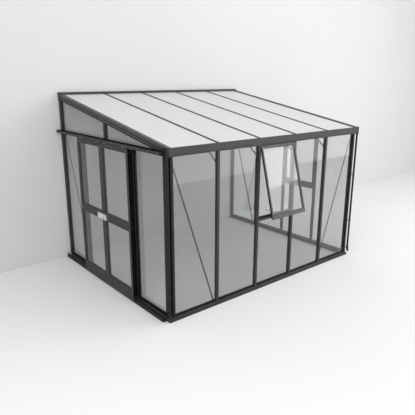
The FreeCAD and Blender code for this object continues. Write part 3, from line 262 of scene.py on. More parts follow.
def heads(kind, radius, pairs):
    """Screw heads at pairs of (place, normal). Rows of (reach, height) are turned about the normal; those
    on the flats reach to a hexagon instead of a circle."""
    profile, flats = kind
    angle = np.arange(HEAD_SIDES) * 2 * math.pi / HEAD_SIDES
    hexagon = math.cos(math.pi / 6) / np.cos(np.mod(angle, math.pi / 3) - math.pi / 6)
    rows = []
    for number, (reach, height) in enumerate(np.array(profile) * radius):
        reach = reach * (hexagon if number in flats else np.ones(HEAD_SIDES))
        rows.append(np.stack([reach * np.cos(angle), reach * np.sin(angle), np.full(HEAD_SIDES, height)], -1))
    places, normals = zip(*pairs)
    return copies(skin(rows), places, [axes_for(normal) for normal in normals])


def loose_boxes(node):
    """Lowest and highest corner of every separate solid of a node, in order along its longest side."""
    mesh = frame["nodes"][node].data
    points = np.empty(len(mesh.vertices) * 3)
    mesh.vertices.foreach_get("co", points)
    points = points.reshape(-1, 3)
    weld = np.unique(np.round(points, 5), axis=0, return_inverse=True)[1].reshape(-1)
    edges = np.empty(len(mesh.edges) * 2, int)
    mesh.edges.foreach_get("vertices", edges)
    edges = weld[edges].reshape(-1, 2)
    label, before = np.arange(weld.max() + 1), None
    while before is None or (label != before).any():
        before = label.copy()
        np.minimum.at(label, edges, before[edges].min(1)[:, None])
    owner = label[weld]
    found = [(points[owner == one].min(0), points[owner == one].max(0)) for one in np.unique(owner)]
    span = np.ptp(points, axis=0)
    return sorted(found, key=lambda pair: pair[0][int(np.argmax(span))])


def corners(node):
    """Lowest and highest corner of a node as arrays."""
    low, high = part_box(node)
    return np.array(low), np.array(high)


# Materials: node trees that read Object coordinates

class Tree:
    """The emptied node tree of a material or world, with short helpers."""

    def __init__(self, owner):
        owner.use_nodes = True
        self.owner = owner
        self.tree = owner.node_tree
        self.tree.nodes.clear()

    def add(self, kind, **values):
        """A node with its socket values set by name."""
        node = self.tree.nodes.new(kind)
        for key, value in values.items():
            node.inputs[key.replace("_", " ")].default_value = value
        return node

    def put(self, value, node, socket):
        """Links another node's output to a socket, or sets the socket to a value."""
        if isinstance(value, bpy.types.NodeSocket):
            self.tree.links.new(value, node.inputs[socket])
        else:
            node.inputs[socket].default_value = value

    def reckon(self, operation, first, second):
        """A number worked out from two numbers."""
        node = self.add("ShaderNodeMath")
        node.operation = operation
        self.put(first, node, 0)
        self.put(second, node, 1)
        return node.outputs["Value"]

    def span(self, source, low, high, start=0.3, end=0.7):
        """The source, usually a noise, mapped onto a range of values."""
        node = self.add("ShaderNodeMapRange", From_Min=start, From_Max=end, To_Min=low, To_Max=high)
        self.put(source, node, "Value")
        return node.outputs["Result"]

    def finish(self, shader, kind="Material"):
        """Sends the shader to the output and gives the tree's owner."""
        self.put(shader, self.add("ShaderNodeOutput" + kind), "Surface")
        return self.owner


class Paint(Tree):
    """A new material's node tree."""

    def __init__(self, name):
        super().__init__(bpy.data.materials.new(name))
        self.place = self.add("ShaderNodeTexCoord").outputs["Object"]

    def geometry(self, socket):
        """A property of the surface where a ray meets it."""
        return self.add("ShaderNodeNewGeometry").outputs[socket]

    def noise(self, scale, detail, stretch=(1.0, 1.0, 1.0)):
        """Noise at a number of cells per metre, stretched per axis."""
        mapping = self.add("ShaderNodeMapping", Scale=stretch)
        self.put(self.place, mapping, "Vector")
        node = self.add("ShaderNodeTexNoise", Scale=scale, Detail=detail)
        self.put(mapping.outputs["Vector"], node, "Vector")
        return node.outputs["Fac"]

    def part(self, vector, axis):
        """One coordinate of a vector."""
        split = self.add("ShaderNodeSeparateXYZ")
        self.put(vector, split, "Vector")
        return split.outputs[axis]

    def mix(self, factor, first, second):
        """Colour between two colours."""
        node = self.add("ShaderNodeMix")
        node.data_type = "RGBA"
        self.put(factor, node, 0)
        for socket, value in ((6, first), (7, second)):
            self.put(value if isinstance(value, bpy.types.NodeSocket) else (*value, 1.0), node, socket)
        return node.outputs[2]

    def drift(self, low, high, **noise):
        """A value that drifts from low to high with a noise."""
        return self.span(self.noise(**noise), low, high)

    def clouds(self, colour, share, **noise):
        """The colour, drifting from darker to lighter by a share of it."""
        dark, light = (tuple(value * step for value in colour) for step in (1 - share, 1 + share))
        return self.mix(self.drift(0.0, 1.0, **noise), dark, light)

    def bump(self, height, strength, distance):
        """Bump from a height."""
        node = self.add("ShaderNodeBump", Strength=strength, Distance=distance)
        self.put(height, node, "Height")
        return node.outputs["Normal"]

    def surface(self, colour, roughness, normal=None, **values):
        """Principled shader."""
        shader = self.add("ShaderNodeBsdfPrincipled", **values)
        self.put(colour, shader, "Base Color")
        self.put(roughness, shader, "Roughness")
        if normal is not None:
            self.put(normal, shader, "Normal")
        return shader.outputs["BSDF"]

    def blend(self, factor, first, second):
        """Shader between two shaders."""
        node = self.add("ShaderNodeMixShader")
        for socket, value in enumerate((factor, first, second)):
            self.put(value, node, socket)
        return node.outputs["Shader"]


def coated_metal(name, colour, rough, specular):
    """Satin powder coat: cloudy colour, fine orange-peel bump, and a breath of dust on faces that look up."""
    tree = Paint(name)
    looks_up = tree.span(tree.part(tree.geometry("Normal"), "Z"), 0.0, MOST_DUST, start=0.5, end=1.0)
    dusty = tree.reckon("MULTIPLY", looks_up, tree.drift(0.2, 1.0, scale=17.0, detail=5.0))
    return tree.finish(tree.surface(
        tree.mix(dusty, tree.clouds(colour, 0.16, scale=3.1, detail=4.0), DUST),
        tree.drift(rough - 0.05, rough + 0.09, scale=9.0, detail=4.0),
        tree.bump(tree.noise(scale=620.0, detail=2.0), strength=0.12, distance=0.0004),
        Specular_IOR_Level=specular))


def moulded_plastic(name, colour, rough, specular=0.5):
    """Moulded plastic or rubber: slight blotches and a fine grain."""
    tree = Paint(name)
    return tree.finish(tree.surface(
        tree.clouds(colour, 0.14, scale=23.0, detail=4.0),
        tree.drift(rough - 0.06, rough + 0.08, scale=41.0, detail=3.0),
        tree.bump(tree.noise(scale=900.0, detail=2.0), strength=0.18, distance=0.0004),
        Specular_IOR_Level=specular))


def bare_metal(name, colour, rough, stretch):
    """Plated or satin metal: long brush marks in the stretch direction over soft clouds."""
    tree = Paint(name)
    marks = tree.noise(scale=420.0, detail=3.0, stretch=stretch)
    return tree.finish(tree.surface(
        tree.clouds(colour, 0.10, scale=14.0, detail=4.0), tree.span(marks, rough - 0.08, rough + 0.10),
        tree.bump(marks, strength=0.10, distance=0.0002), Metallic=1.0))


def opal_sheet(name, colour):
    """Opal sheet: near-white, lets soft light through, faint run of the flutes up the slope."""
    tree = Paint(name)
    streaks = tree.clouds(colour, 0.022, scale=6.0, detail=3.0, stretch=(6.0, 0.35, 0.35))
    body = tree.surface(streaks, tree.drift(0.31, 0.35, scale=2.5, detail=1.0),
                        tree.bump(tree.noise(scale=160.0, detail=2.0), strength=0.06, distance=0.0004))
    glow = tree.add("ShaderNodeBsdfTranslucent")
    tree.put(streaks, glow, "Color")
    return tree.finish(tree.blend(GLOW_SHARE, body, glow.outputs["BSDF"]))


def clear_glass(name, colour):
    """Horticultural glass: a tinted clear layer under a mirror layer that grows towards grazing angles,
    with a slow waviness and a thin film of dust. Only the face that a ray meets first mirrors, and it
    stands for both faces of the pane."""
    tree = Paint(name)
    clear = tree.add("ShaderNodeBsdfTransparent")
    tree.put(tree.clouds(colour, 0.012, scale=1.7, detail=3.0), clear, "Color")
    normal = tree.bump(tree.noise(scale=2.3, detail=1.0), strength=0.05, distance=0.004)
    mirror = tree.add("ShaderNodeBsdfAnisotropic", Color=WHITE)
    tree.put(tree.drift(0.02, 0.07, scale=19.0, detail=5.0), mirror, "Roughness")
    tree.put(normal, mirror, "Normal")
    fresnel = tree.add("ShaderNodeFresnel", IOR=1.45)
    tree.put(normal, fresnel, "Normal")
    faces = tree.span(tree.geometry("Backfacing"), MIRROR_GAIN, 0.0, start=0.0, end=1.0)
    share = tree.reckon("MULTIPLY", fresnel.outputs["Fac"], faces)
    pane = tree.blend(share, clear.outputs["BSDF"], mirror.outputs["BSDF"])
    dust = tree.surface(tree.mix(tree.noise(scale=31.0, detail=4.0), (0.52, 0.53, 0.53), (0.66, 0.67, 0.66)),
                        tree.drift(0.55, 0.75, scale=8.0, detail=2.0))
    return tree.finish(tree.blend(tree.drift(0.004, 0.020, scale=5.0, detail=6.0), pane, dust))


def stage_paint(name, colour, one_sided=False, fall=0.0):
    """Matt studio surface whose colour darkens towards the left by the fall's share: painted shade for the
    shadow beside the greenhouse. A one-sided wall can be seen through from behind."""
    tree = Paint(name)
    # Painted shade: the colour at the left is darkened by the fall's share
    shade_left = tuple(value * (1 - fall) for value in colour)
    rightward = tree.span(tree.part(tree.place, "X"), 0.0, 1.0, *PAINTED_SHADE_X)
    paint = tree.surface(tree.mix(rightward, shade_left, tree.clouds(colour, 0.006, scale=0.8, detail=2.0)),
                         tree.drift(0.80, 0.90, scale=3.0, detail=2.0))
    if one_sided:
        clear = tree.add("ShaderNodeBsdfTransparent")
        paint = tree.blend(tree.geometry("Backfacing"), paint, clear.outputs["BSDF"])
    return tree.finish(paint)


# Sizes and colours

def length(label, value, text):
    """A length property in metres."""
    return bpy.props.FloatProperty(name=label, description=text, default=value, unit="LENGTH", precision=4)


def angle(label, degrees, text):
    """An angle property."""
    return bpy.props.FloatProperty(name=label, description=text, subtype="ANGLE",
                                   default=math.radians(degrees))


def shade(label, value, text):
    """A colour property."""
    return bpy.props.FloatVectorProperty(name=label, description=text, default=value, size=3, subtype="COLOR",
                                         min=0.0, max=1.0)


class GreenhouseSizes(bpy.types.PropertyGroup):
    """Sizes of the fine parts."""

    flute: length("Flute pitch", 0.0108, "Distance between two ribs of the fluted roof sheet")
    flute_depth: length("Flute depth", 0.00045, "How far the sheet's skin sinks between two ribs")
    gasket_width: length("Gasket width", 0.0045, "How far a glazing gasket covers the glass")
    gasket_height: length("Gasket height", 0.0030, "How far a glazing gasket stands off the glass")
    lip_width: length("Lip width", 0.0040, "Width of the soft lip beside a rafter cap")
    rafter_drop: length("Rafter drop", 0.071, "How far a side rafter reaches under the roof sheets")
    cap_plate: length("End plate", 0.0022, "Thickness of a plastic end plate")
    bolt: length("Bolt head", 0.0065, "Radius of a hexagon bolt's head")
    screw: length("Screw head", 0.0045, "Radius of a pan screw's head")
    band: length("Sill band", 1.8765, "Distance of a side sill's upright band from the middle plane")
    fin_step: length("Fin step", 0.023, "How far a door jamb's fin stands back from its outer face")
    stile: length("Door stile", 0.055, "Width of a door leaf's upright")
    mid_rail: length("Door rail", 1.081, "Height of the middle of a door leaf's cross rail")
    rail: length("Sash rail", 0.030, "Width of a window sash's rail")
    foot_rail: length("Sash foot rail", 0.048, "Height of a window sash's lowest rail")
    sash_top: length("Sash top", 0.008, "How far a sash's frame ends under its hinge line")
    sash_foot: length("Sash foot", 1.097, "Height of a closed sash's frame above the floor")
    ledge: length("Window ledge", 1.077, "Height of the cross rail's ledge under a closed sash")
    strip: length("Strip", 0.0015, "Thickness of a soft strip on an edge")
    roof_angle: angle("Roof angle", 10.0, "Slope of the roof")
    window_angle: angle("Window angle", 15.0, "How far the front window stands open")


class GreenhouseColours(bpy.types.PropertyGroup):
    """Base colours, linear."""

    frame: shade("Frame", (0.023, 0.0235, 0.025), "Near-black powder coat")
    # deep and pale are the frame's one powder coat made darker and lighter: painted shade on the lowest and corner
    # profiles, painted light on sashes, side sills and side rafters
    deep: shade("Frame, deep", (0.007, 0.0071, 0.0076), "Powder coat of the lowest and the corner profiles")
    pale: shade("Frame, pale", (0.036, 0.037, 0.039), "Powder coat of sashes, side sills and side rafters")
    # The weather strip's near-black matt look serves real strips, and also strips laid where the frame shows only
    # deep shade: partly painted shade
    brush: shade("Weather strip", (0.0025, 0.0025, 0.0025), "Black strips and trims")
    glass: shade("Glass", (0.866, 0.872, 0.875), "Tint of one glass surface")
    opal: shade("Opal", (0.71, 0.712, 0.715), "Opal roof sheet")
    plastic: shade("Black plastic", (0.008, 0.008, 0.0085), "Gutter ends and pipes")
    rubber: shade("Rubber", (0.014, 0.014, 0.014), "Gaskets and seals")
    nylon: shade("Nylon", (0.70, 0.69, 0.65), "Rollers")
    zinc: shade("Zinc", (0.56, 0.57, 0.58), "Bolts, screws and hangers")
    satin: shade("Satin metal", (0.80, 0.80, 0.79), "Lock")
    floor: shade("Floor", (0.82, 0.82, 0.82), "Studio floor")
    wall: shade("Wall", (0.74, 0.74, 0.742), "Studio wall")


def sizes():
    """The property group of sizes."""
    return bpy.context.scene.greenhouse_sizes


def roof_height(y, above=0.0):
    """Height of a line parallel to the roof, measured up the slope's normal from the sheets' underside."""
    low = corners("roof_sheets")[0]
    slope = sizes().roof_angle
    return low[2] + (y - low[1]) * math.tan(slope) + above / math.cos(slope)


def slope_axes():
    """Unit vectors up the roof and out of it."""
    slope = sizes().roof_angle
    return np.array([0, math.cos(slope), math.sin(slope)]), np.array([0, -math.sin(slope), math.cos(slope)])


def bays(bars, axis, start, stop):
    """Pairs of coordinates between which glass is seen from outside: what a node's bars leave free."""
    edges = [start] + [end[axis] for box in loose_boxes(bars) for end in box] + [stop]
    return list(zip(edges[::2], edges[1::2]))


def front_bays():
    """Pairs of X on the front."""
    return bays("front_bars", 0, corners("corner_post_left")[1][0], corners("corner_post_right")[0][0])


def side_bays():
    """Pairs of Y on a side."""
    return bays("far_bars", 1, corners("corner_post_right")[1][1], corners("wall_post_far")[0][1])


def upright(across, low, high, axis):
    """Four corners of an upright rectangle on the plane where the axis (0 = X, 1 = Y) is zero."""
    flat = [(across[0], low), (across[1], low), (across[1], high), (across[0], high)]
    return [(0, a, z) if axis == 0 else (a, 0, z) for a, z in flat]


def gasket_section():
    """Wedge section of a glazing gasket: a rounded hump that falls to a thin lip on the glass."""
    s = sizes()
    w, h = s.gasket_width, s.gasket_height
    return [(0, 0), (0, 0.92 * h), (0.14 * w, h), (0.42 * w, 0.82 * h), (0.80 * w, 0.30 * h), (w, 0.06 * h),
            (w, 0)]


def both_sides(outline, pane_low, pane_high, axis):
    """Gaskets on the two faces of a pane. The outline's values on the axis are replaced by each face's."""
    shells = []
    for face, sign in ((pane_low, -1.0), (pane_high, 1.0)):
        ring = np.array(outline, float)
        ring[:, axis] = face
        shells.append(frame_run(ring, sign * np.eye(3)[axis], gasket_section()))
    return shells


class Step(bpy.types.Operator):
    """Common base of the building steps."""

    bl_options = {"REGISTER", "UNDO"}

    def execute(self, context):
        self.make()
        return {"FINISHED"}


class GreenhouseMaterials(Step):
    """Makes the procedural materials and puts them on every node that is carried over"""

    bl_idname = "greenhouse.materials"
    bl_label = "Materials"

    def make(self):
        c = bpy.context.scene.greenhouse_colours
        MATERIALS.update({
            "frame": coated_metal("satin_black_coat", c.frame, rough=0.42, specular=0.34),
            # The deep and pale coats are shaded and lit copies of the frame coat: painted shade and painted light
            "deep": coated_metal("satin_black_coat_deep", c.deep, rough=0.44, specular=0.22),
            "pale": coated_metal("satin_black_coat_pale", c.pale, rough=0.40, specular=0.44),
            "glass": clear_glass("grey_clear_glass", c.glass),
            "opal": opal_sheet("opal_sheet", c.opal),
            "pipe": moulded_plastic("black_plastic", c.plastic, rough=0.48, specular=0.22),
            "seal": moulded_plastic("black_rubber", c.rubber, rough=0.66),
            # Near-black matt strips: real strips in part, painted shade in gaps, grooves and on shaded faces in
            # part
            "brush": moulded_plastic("black_strip", c.brush, rough=0.88, specular=0.06),
            "nylon": moulded_plastic("natural_nylon", c.nylon, rough=0.45),
            "steel": bare_metal("zinc_plate", c.zinc, rough=0.36, stretch=(1.0, 1.0, 0.3)),
            "lock": bare_metal("satin_lock", c.satin, rough=0.34, stretch=(1.0, 0.08, 1.0)),
        })
        for part in frame["record"]["subparts"]:
            node = frame["nodes"][part["node"]]
            if not node.material_slots:
                raise RuntimeError("no material slot on " + part["node"])
            # A listed node gets the frame coat's painted shade (deep) or painted light (pale) copy
            key = PAINTED_SHADE_AND_LIGHT_COATS.get(part["node"], part["material_slot"])
            for slot in node.material_slots:
                slot.material = MATERIALS[key]


class GreenhouseRoof(Step):
    """Fluted roof sheets, front edge trims and soft lips beside the rafter caps"""

    bl_idname = "greenhouse.roof"
    bl_label = "Roof sheets and trims"

    def sheet(self, low, high):
        """Skins sink along a cosine between the ribs, on both faces, swept up the slope."""
        s = sizes()
        wide, deep, tall = high - low
        thick = (tall - deep * math.tan(s.roof_angle)) * math.cos(s.roof_angle)
        count = max(2, int(round(wide / s.flute)))
        x = np.linspace(low[0], high[0], count * FLUTE_POINTS + 1)
        wave = s.flute_depth * 0.5 * (1 - np.cos((x - low[0]) / wide * count * 2 * math.pi))
        x = np.concatenate([x, x[::-1]])
        above = np.concatenate([thick - wave, wave[::-1]]) / math.cos(s.roof_angle)
        return skin([np.stack([x, np.full(len(x), y), roof_height(y) + above], -1)
                     for y in (low[1], high[1])])

    def nosing(self, front, x0, x1):
        """U-shaped nosing over the sheet's front edge, swept along X."""
        wall, deep, fit = 0.0012, 0.016, 0.0002
        section = [(-wall, -wall), (deep, -wall), (deep, -fit), (0, -fit), (0, SHEET + fit),
                   (deep, SHEET + fit), (deep, SHEET + wall), (-0.6 * wall, SHEET + wall),
                   (-1.6 * wall, SHEET * 0.5)]
        z = roof_height(front)
        return run(section, (x0, front, z), (x1, front, z), *slope_axes())

    def lip(self, x, side):
        """Soft lip on the sheets beside a rafter's cap, which it reaches under."""
        w, tuck, front_gap, back_gap = sizes().lip_width, -0.002, 0.006, 0.004
        section = [(tuck, SKIM), (tuck, 0.0030), (0.2 * w, 0.0027), (0.7 * w, 0.0014), (w, 0.0004), (w, SKIM)]
        ends = corners("roof_sheets")[0][1] + front_gap, corners("wall_plate")[0][1] - back_gap
        return run(section, *[(x, y, roof_height(y, SHEET)) for y in ends], side * ALONG, slope_axes()[1])

    def make(self):
        sheets = loose_boxes("roof_sheets")
        piece = build("roof_fluted_sheets", [self.sheet(low, high) for low, high in sheets], "opal",
                      crease=FLUTE_CREASE)
        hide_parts("roof_sheets")
        barge = corners("gable_rafter_near")[1][0]
        edges = [barge] + [end[0] for rafter in RAFTERS for end in corners(rafter)] + [-barge]
        margin = 0.0006
        build("sheet_edge_trims", [self.nosing(low[1], x0 + margin, x1 - margin)
                                   for (low, high), x0, x1 in zip(sheets, edges[::2], edges[1::2])], "opal")
        build("rafter_cap_lips", [self.lip(x, (1, -1)[number % 2]) for number, x in enumerate(edges)], "seal")


class GreenhouseGaskets(Step):
    """Glazing gaskets round every pane, inside and outside"""

    bl_idname = "greenhouse.gaskets"
    bl_label = "Glazing gaskets"

    def fixed(self):
        """Gaskets of the panes that stand still. The panes above the two windows end at a cross rail."""
        sill = corners("base_sill_front")[1][2]
        eave = corners("eave_gutter")[0][2]
        rail = corners("front_window_rail")[0][2]
        glass = corners("front_glass")
        shells = []
        for number, bay in enumerate(front_bays()):
            top = rail if number == FRONT_WINDOW_BAY else eave
            shells += both_sides(upright(bay, sill, top, 1), glass[0][1], glass[1][1], 1)
        header = corners("gable_header_far")[0][2]
        rail = corners("far_window_rail")[0][2]
        for node, window, wanted in (("far_glass", FAR_WINDOW_BAY, FAR_BAYS),
                                     ("near_glass", None, NEAR_BAYS)):
            glass = corners(node)
            for number in wanted:
                top = rail if number == window else header
                shells += both_sides(upright(side_bays()[number], sill, top, 0), glass[0][0], glass[1][0], 0)
        return shells

    def gable(self):
        """Gaskets of the four panes under the sloping side rafters."""
        header = corners("gable_header_far")[1][2]
        stud_front, stud_back = (end[1] for end in loose_boxes("gable_studs")[0])
        front, back = corners("roof_sheets")[0][1], side_bays()[-1][1]

        def under(y):
            return roof_height(y, -sizes().rafter_drop)

        point = front + (header - under(front)) / math.tan(sizes().roof_angle)
        outlines = ([(0, point, header), (0, stud_front, header), (0, stud_front, under(stud_front))],
                    [(0, stud_back, header), (0, back, header), (0, back, under(back)),
                     (0, stud_back, under(stud_back))])
        planes = sorted({(round(low[0], 4), round(high[0], 4)) for low, high in loose_boxes("gable_glass")})
        return [shell for low, high in planes for outline in outlines
                for shell in both_sides(outline, low, high, 0)]

    def leaf(self, tag):
        """Gaskets of a door leaf's two panes, whose upper and lower edges are hidden in the rails."""
        low, high = corners("door_frame_" + tag)
        stile, hidden = sizes().stile, 0.009
        shells = []
        for pane_low, pane_high in sorted(loose_boxes("door_glass_" + tag), key=lambda pair: pair[0][2]):
            ring = upright((low[1] + stile, high[1] - stile), pane_low[2] + hidden, pane_high[2] - hidden, 0)
            shells += both_sides(ring, pane_low[0], pane_high[0], 0)
        return shells

    def make(self):
        build("glass_gaskets", self.fixed() + self.gable(), "seal")
        for tag in ("wall", "front"):
            build("door_gaskets_" + tag, self.leaf(tag), "seal", "leaf_" + tag)


class GreenhouseWindows(Step):
    """Gaskets, edge seals and closing seals of the two windows; the closing seals' strips are painted shade"""

    bl_idname = "greenhouse.windows"
    bl_label = "Window details"

    def hinge(self, tag):
        """A point on a window's hinge line."""
        joint = next(joint for joint in frame["joints"] if joint["name"] == "window_%s_hinge" % tag)
        return np.array(joint["pos_m"], float)

    def sash(self, hinge):
        """Gaskets and edge seals of one closed sash in front-wall coordinates, the hinge line on the X axis.
        They are read off the closed side window's boxes."""
        s = sizes()
        low, high = corners("far_sash")
        glass = corners("far_sash_glass")
        half = (high[1] - low[1]) / 2
        foot = s.sash_foot - hinge[2]
        opening = upright((s.rail - half, half - s.rail), foot + s.foot_rail, -s.sash_top - s.rail, 1)
        gaskets = both_sides(opening, hinge[0] - glass[1][0], hinge[0] - glass[0][0], 1)
        wide, inset = 0.022, 0.002
        y, z0, z1 = hinge[0] - high[0] + inset, foot + inset, -s.sash_top - 2 * inset
        edges = [strip_run((side * half, y, z0), (side * half, y, z1), side * ALONG, INWARD, wide)
                 for side in (-1, 1)]
        return gaskets, edges

    def opening(self, hinge):
        """Seal on the cross rail's ledge, and near-black strips beside the sash on the bars and inner jambs:
        painted shade in the gap beside the sash.
        """
        low, high = corners("far_window_rail")
        half = (high[1] - low[1]) / 2
        outer = hinge[0] - high[0]
        deep = hinge[0] - corners("window_jambs")[1][0] - outer
        ledge = sizes().ledge - hinge[2]
        bulb = [(0.013, 0.0002), (0.013, 0.004), (0.016, 0.009), (0.020, 0.011), (0.024, 0.009),
                (0.0255, 0.004), (0.0255, 0.0002)]
        gap = 0.004
        shells = [run(bulb, (gap - half, outer, ledge), (half - gap, outer, ledge), INWARD, UP)]
        wide, thick, lead, film, fit = 0.024, 0.0012, 0.003, 0.0002, 0.00002
        corner = [(0.0, lead), (thick, lead), (thick, deep - film), (wide, deep - film), (wide, deep - fit),
                  (0.0, deep - fit)]
        foot, head = ledge + 0.032, -0.026
        for side in (-1, 1):
            edge = side * (half + film)
            shells.append(run(corner, (edge, outer, foot), (edge, outer, head), -side * ALONG, INWARD))
        return shells

    def make(self):
        low, high = corners("far_sash")
        side, front = self.hinge("far"), self.hinge("front")
        side[1] = (low[1] + high[1]) / 2
        cos, sin = math.cos(sizes().window_angle), math.sin(sizes().window_angle)
        tilt = np.array([[1, 0, 0], [0, cos, sin], [0, -sin, cos]])
        quarter = np.array([[0, -1, 0], [1, 0, 0], [0, 0, 1]])
        gaskets, edges = self.sash(side)
        frame_seals = self.opening(side)
        shells = []
        for tag, wall, leaf, place in (("far", quarter, quarter, side), ("front", np.eye(3), tilt, front)):
            for name, made, look in (("gaskets", gaskets, "seal"), ("edge_seals", edges, "brush")):
                build(tag + "_sash_" + name, [copies(shell, [place], [leaf]) for shell in made], look,
                      "window_" + tag)
            shells += [copies(shell, [place], [wall]) for shell in frame_seals]
        # The ledge seal, and near-black strips beside the sashes that paint the shade there
        build("window_closing_seals", shells, "brush")


class GreenhouseSeals(Step):
    """Near-black strips, mostly painted shade: on the hood, door leaves' edges (also seals), jambs and side
    rafters, and trims along the sills
    """

    bl_idname = "greenhouse.seals"
    bl_label = "Weather strips"

    def hood(self):
        """Near-black ribbed apron on the hood's top, painted shade for the dark gap there: its top is a row of
        round ribs, a cosine across X, swept along Y.
        """
        low, high = corners("door_hood")
        ribs, points, thick, tall, fall = 7, 8, 0.0009, 0.0005, 0.003
        front_gap, back_gap, edge, end_gap = 0.0006, 0.003, 0.002, 0.001
        x = np.linspace(high[0] - front_gap, low[0] + back_gap, ribs * points + 1)
        part = (high[0] - x) / (high[0] - low[0] - edge)
        base = high[2] - fall * part
        top = base + thick + tall * np.cos(part * ribs * 2 * math.pi)
        section = np.concatenate([np.stack([x, top], -1), np.stack([x[::-1], base[::-1] + SKIM], -1)])
        return run(section, (0, low[1] + end_gap, 0), (0, high[1] - end_gap, 0), ALONG, UP)

    def trim(self, leg, x, y, inner):
        """A sill's near-black edge trim between two places, painted shade: a leaf on the ledge and a leg down
        the band's face.
        """
        top = corners("base_sill_far")[1][2]
        section = [(-0.0010, -leg), (-SKIM, -leg), (-SKIM, SKIM), (0.0052, SKIM), (0.0052, 0.0009),
                   (-0.0004, 0.0011), (-0.0010, 0.0006)]
        return run(section, (x[0], y[0], top), (x[1], y[1], top), inner, UP)

    def sills(self):
        """Near-black edge trims over the sills' bands, from bar to bar: painted shade along the ledges."""
        gap, side_leg, front_leg, front_band = 0.0005, 0.0225, 0.012, 0.009
        shells = []
        for side, wanted in ((1, FAR_BAYS), (-1, NEAR_BAYS)):
            x = side * sizes().band
            for number in wanted:
                start, stop = side_bays()[number]
                shells.append(self.trim(side_leg, (x, x), (start + gap, stop - gap), -side * ALONG))
        y = corners("front_glass")[0][1] - front_band
        for start, stop in front_bays():
            shells.append(self.trim(front_leg, (start + gap, stop - gap), (y, y), INWARD))
        return shells

    def grooves(self):
        """Near-black strips that lie in the two grooves along each side rafter: painted shade in the grooves."""
        low, high = corners("gable_rafter_near")
        section = [(0.0020, -0.0040), (0.0025, 0.0), (0.0020, 0.0040), (0.0080, 0.0026), (0.0080, -0.0026)]
        drops, front_gap, back_gap = (-0.024, -0.062), 0.075, 0.003
        shells = []
        for drop in drops:
            for side in (-1, 1):
                ends = [(-side * low[0], y, roof_height(y, drop))
                        for y in (low[1] + front_gap, high[1] - back_gap)]
                shells.append(run(section, *ends, -side * ALONG, slope_axes()[1]))
        return shells

    def leaf_edge(self, tag, side):
        """Strip on the edge of a door leaf that meets the other leaf or the jamb: a seal, near-black to paint the
        shade on that edge.
        """
        low, high = corners("door_frame_" + tag)
        inset, foot, head = 0.002, 0.065, 0.006
        x, y = low[0] + inset, (low if side < 0 else high)[1]
        return strip_run((x, y, low[2] + foot), (x, y, high[2] - head), side * INWARD, ALONG,
                         high[0] - low[0] - 2 * inset)

    def jambs(self):
        """Near-black strips on the fin and the outer face of both door jambs: painted shade on these faces."""
        middle = (corners("door_frame_front")[0][1] + corners("door_frame_wall")[1][1]) / 2
        low, high = loose_boxes("door_jambs")[0]
        foot, head = 0.023, 0.006
        shells = []
        for start, stop, step in ((0.0005, 0.0295, sizes().fin_step), (0.0320, 0.0540, 0.0)):
            x = low[0] + start
            for side in (-1, 1):
                y = middle + side * (middle - low[1] - step)
                shells.append(strip_run((x, y, low[2] + foot), (x, y, high[2] - head), side * INWARD, ALONG,
                                        stop - start))
        return shells

    def make(self):
        # Near-black strip on the hood's top: painted shade
        build("hood_weather_strip", [self.hood()], "brush", crease=RIB_CREASE)
        # Near-black trims along the sills: painted shade
        build("sill_edge_trims", self.sills(), "brush")
        # Near-black strips in the rafter grooves: painted shade
        build("side_rafter_strips", self.grooves(), "brush")
        # Near-black strips on the leaves' edges: seals, and painted shade on those edges
        for tag, side in (("front", -1), ("wall", 1)):
            build("leaf_edge_seal_" + tag, [self.leaf_edge(tag, side)], "brush", "leaf_" + tag)
        # Near-black strips on the door jambs: painted shade
        build("jamb_strips", self.jambs(), "brush")


class GreenhouseCaps(Step):
    """Plastic end plates on the rafters, the side rafters, the hood and the floor track"""

    bl_idname = "greenhouse.caps"
    bl_label = "End plates"

    def outlines(self):
        """Every plate's outline with the direction it faces."""
        cap = [(-0.017, 0.0103), (-0.017, 0.014), (-0.013, 0.0183), (0.013, 0.0183), (0.017, 0.014),
               (0.017, 0.0103)]
        for rafter in RAFTERS:
            low, high = corners(rafter)
            middle = (low[0] + high[0]) / 2
            yield [(middle + x, low[1], roof_height(low[1], above)) for x, above in cap], -INWARD
        low, high = corners("gable_rafter_near")
        outer, inner, flange = low[0] + 0.0035, high[0], high[0] - 0.030
        cap = [(outer, 0.0), (outer, 0.024), (low[0] + 0.047, 0.024), (inner, 0.0183), (inner, 0.0105),
               (flange, 0.0105), (flange, 0.0)]
        for mirror in (1, -1):
            yield [(mirror * x, low[1], roof_height(low[1], above)) for x, above in cap], -INWARD
        low, high = corners("door_hood")
        step = low[0] + 0.002
        cap = [(high[0], 0.064), (high[0], 0.0), (step, 0.003), (step, 0.026), (low[0], 0.028),
               (low[0], 0.041)]
        for y, out in ((low[1], -INWARD), (high[1], INWARD)):
            yield [(x, y, high[2] - drop) for x, drop in cap], out
        low, high = corners("door_floor_track")
        cap = [(low[0], 0.0), (low[0], 0.058), (low[0] + 0.004, 0.060), (high[0], 0.018), (high[0], 0.0)]
        yield [(x, low[1], z) for x, z in cap], -INWARD

    def make(self):
        thick = sizes().cap_plate
        build("profile_end_plates", [plate(ring, out, thick) for ring, out in self.outlines()], "pipe")


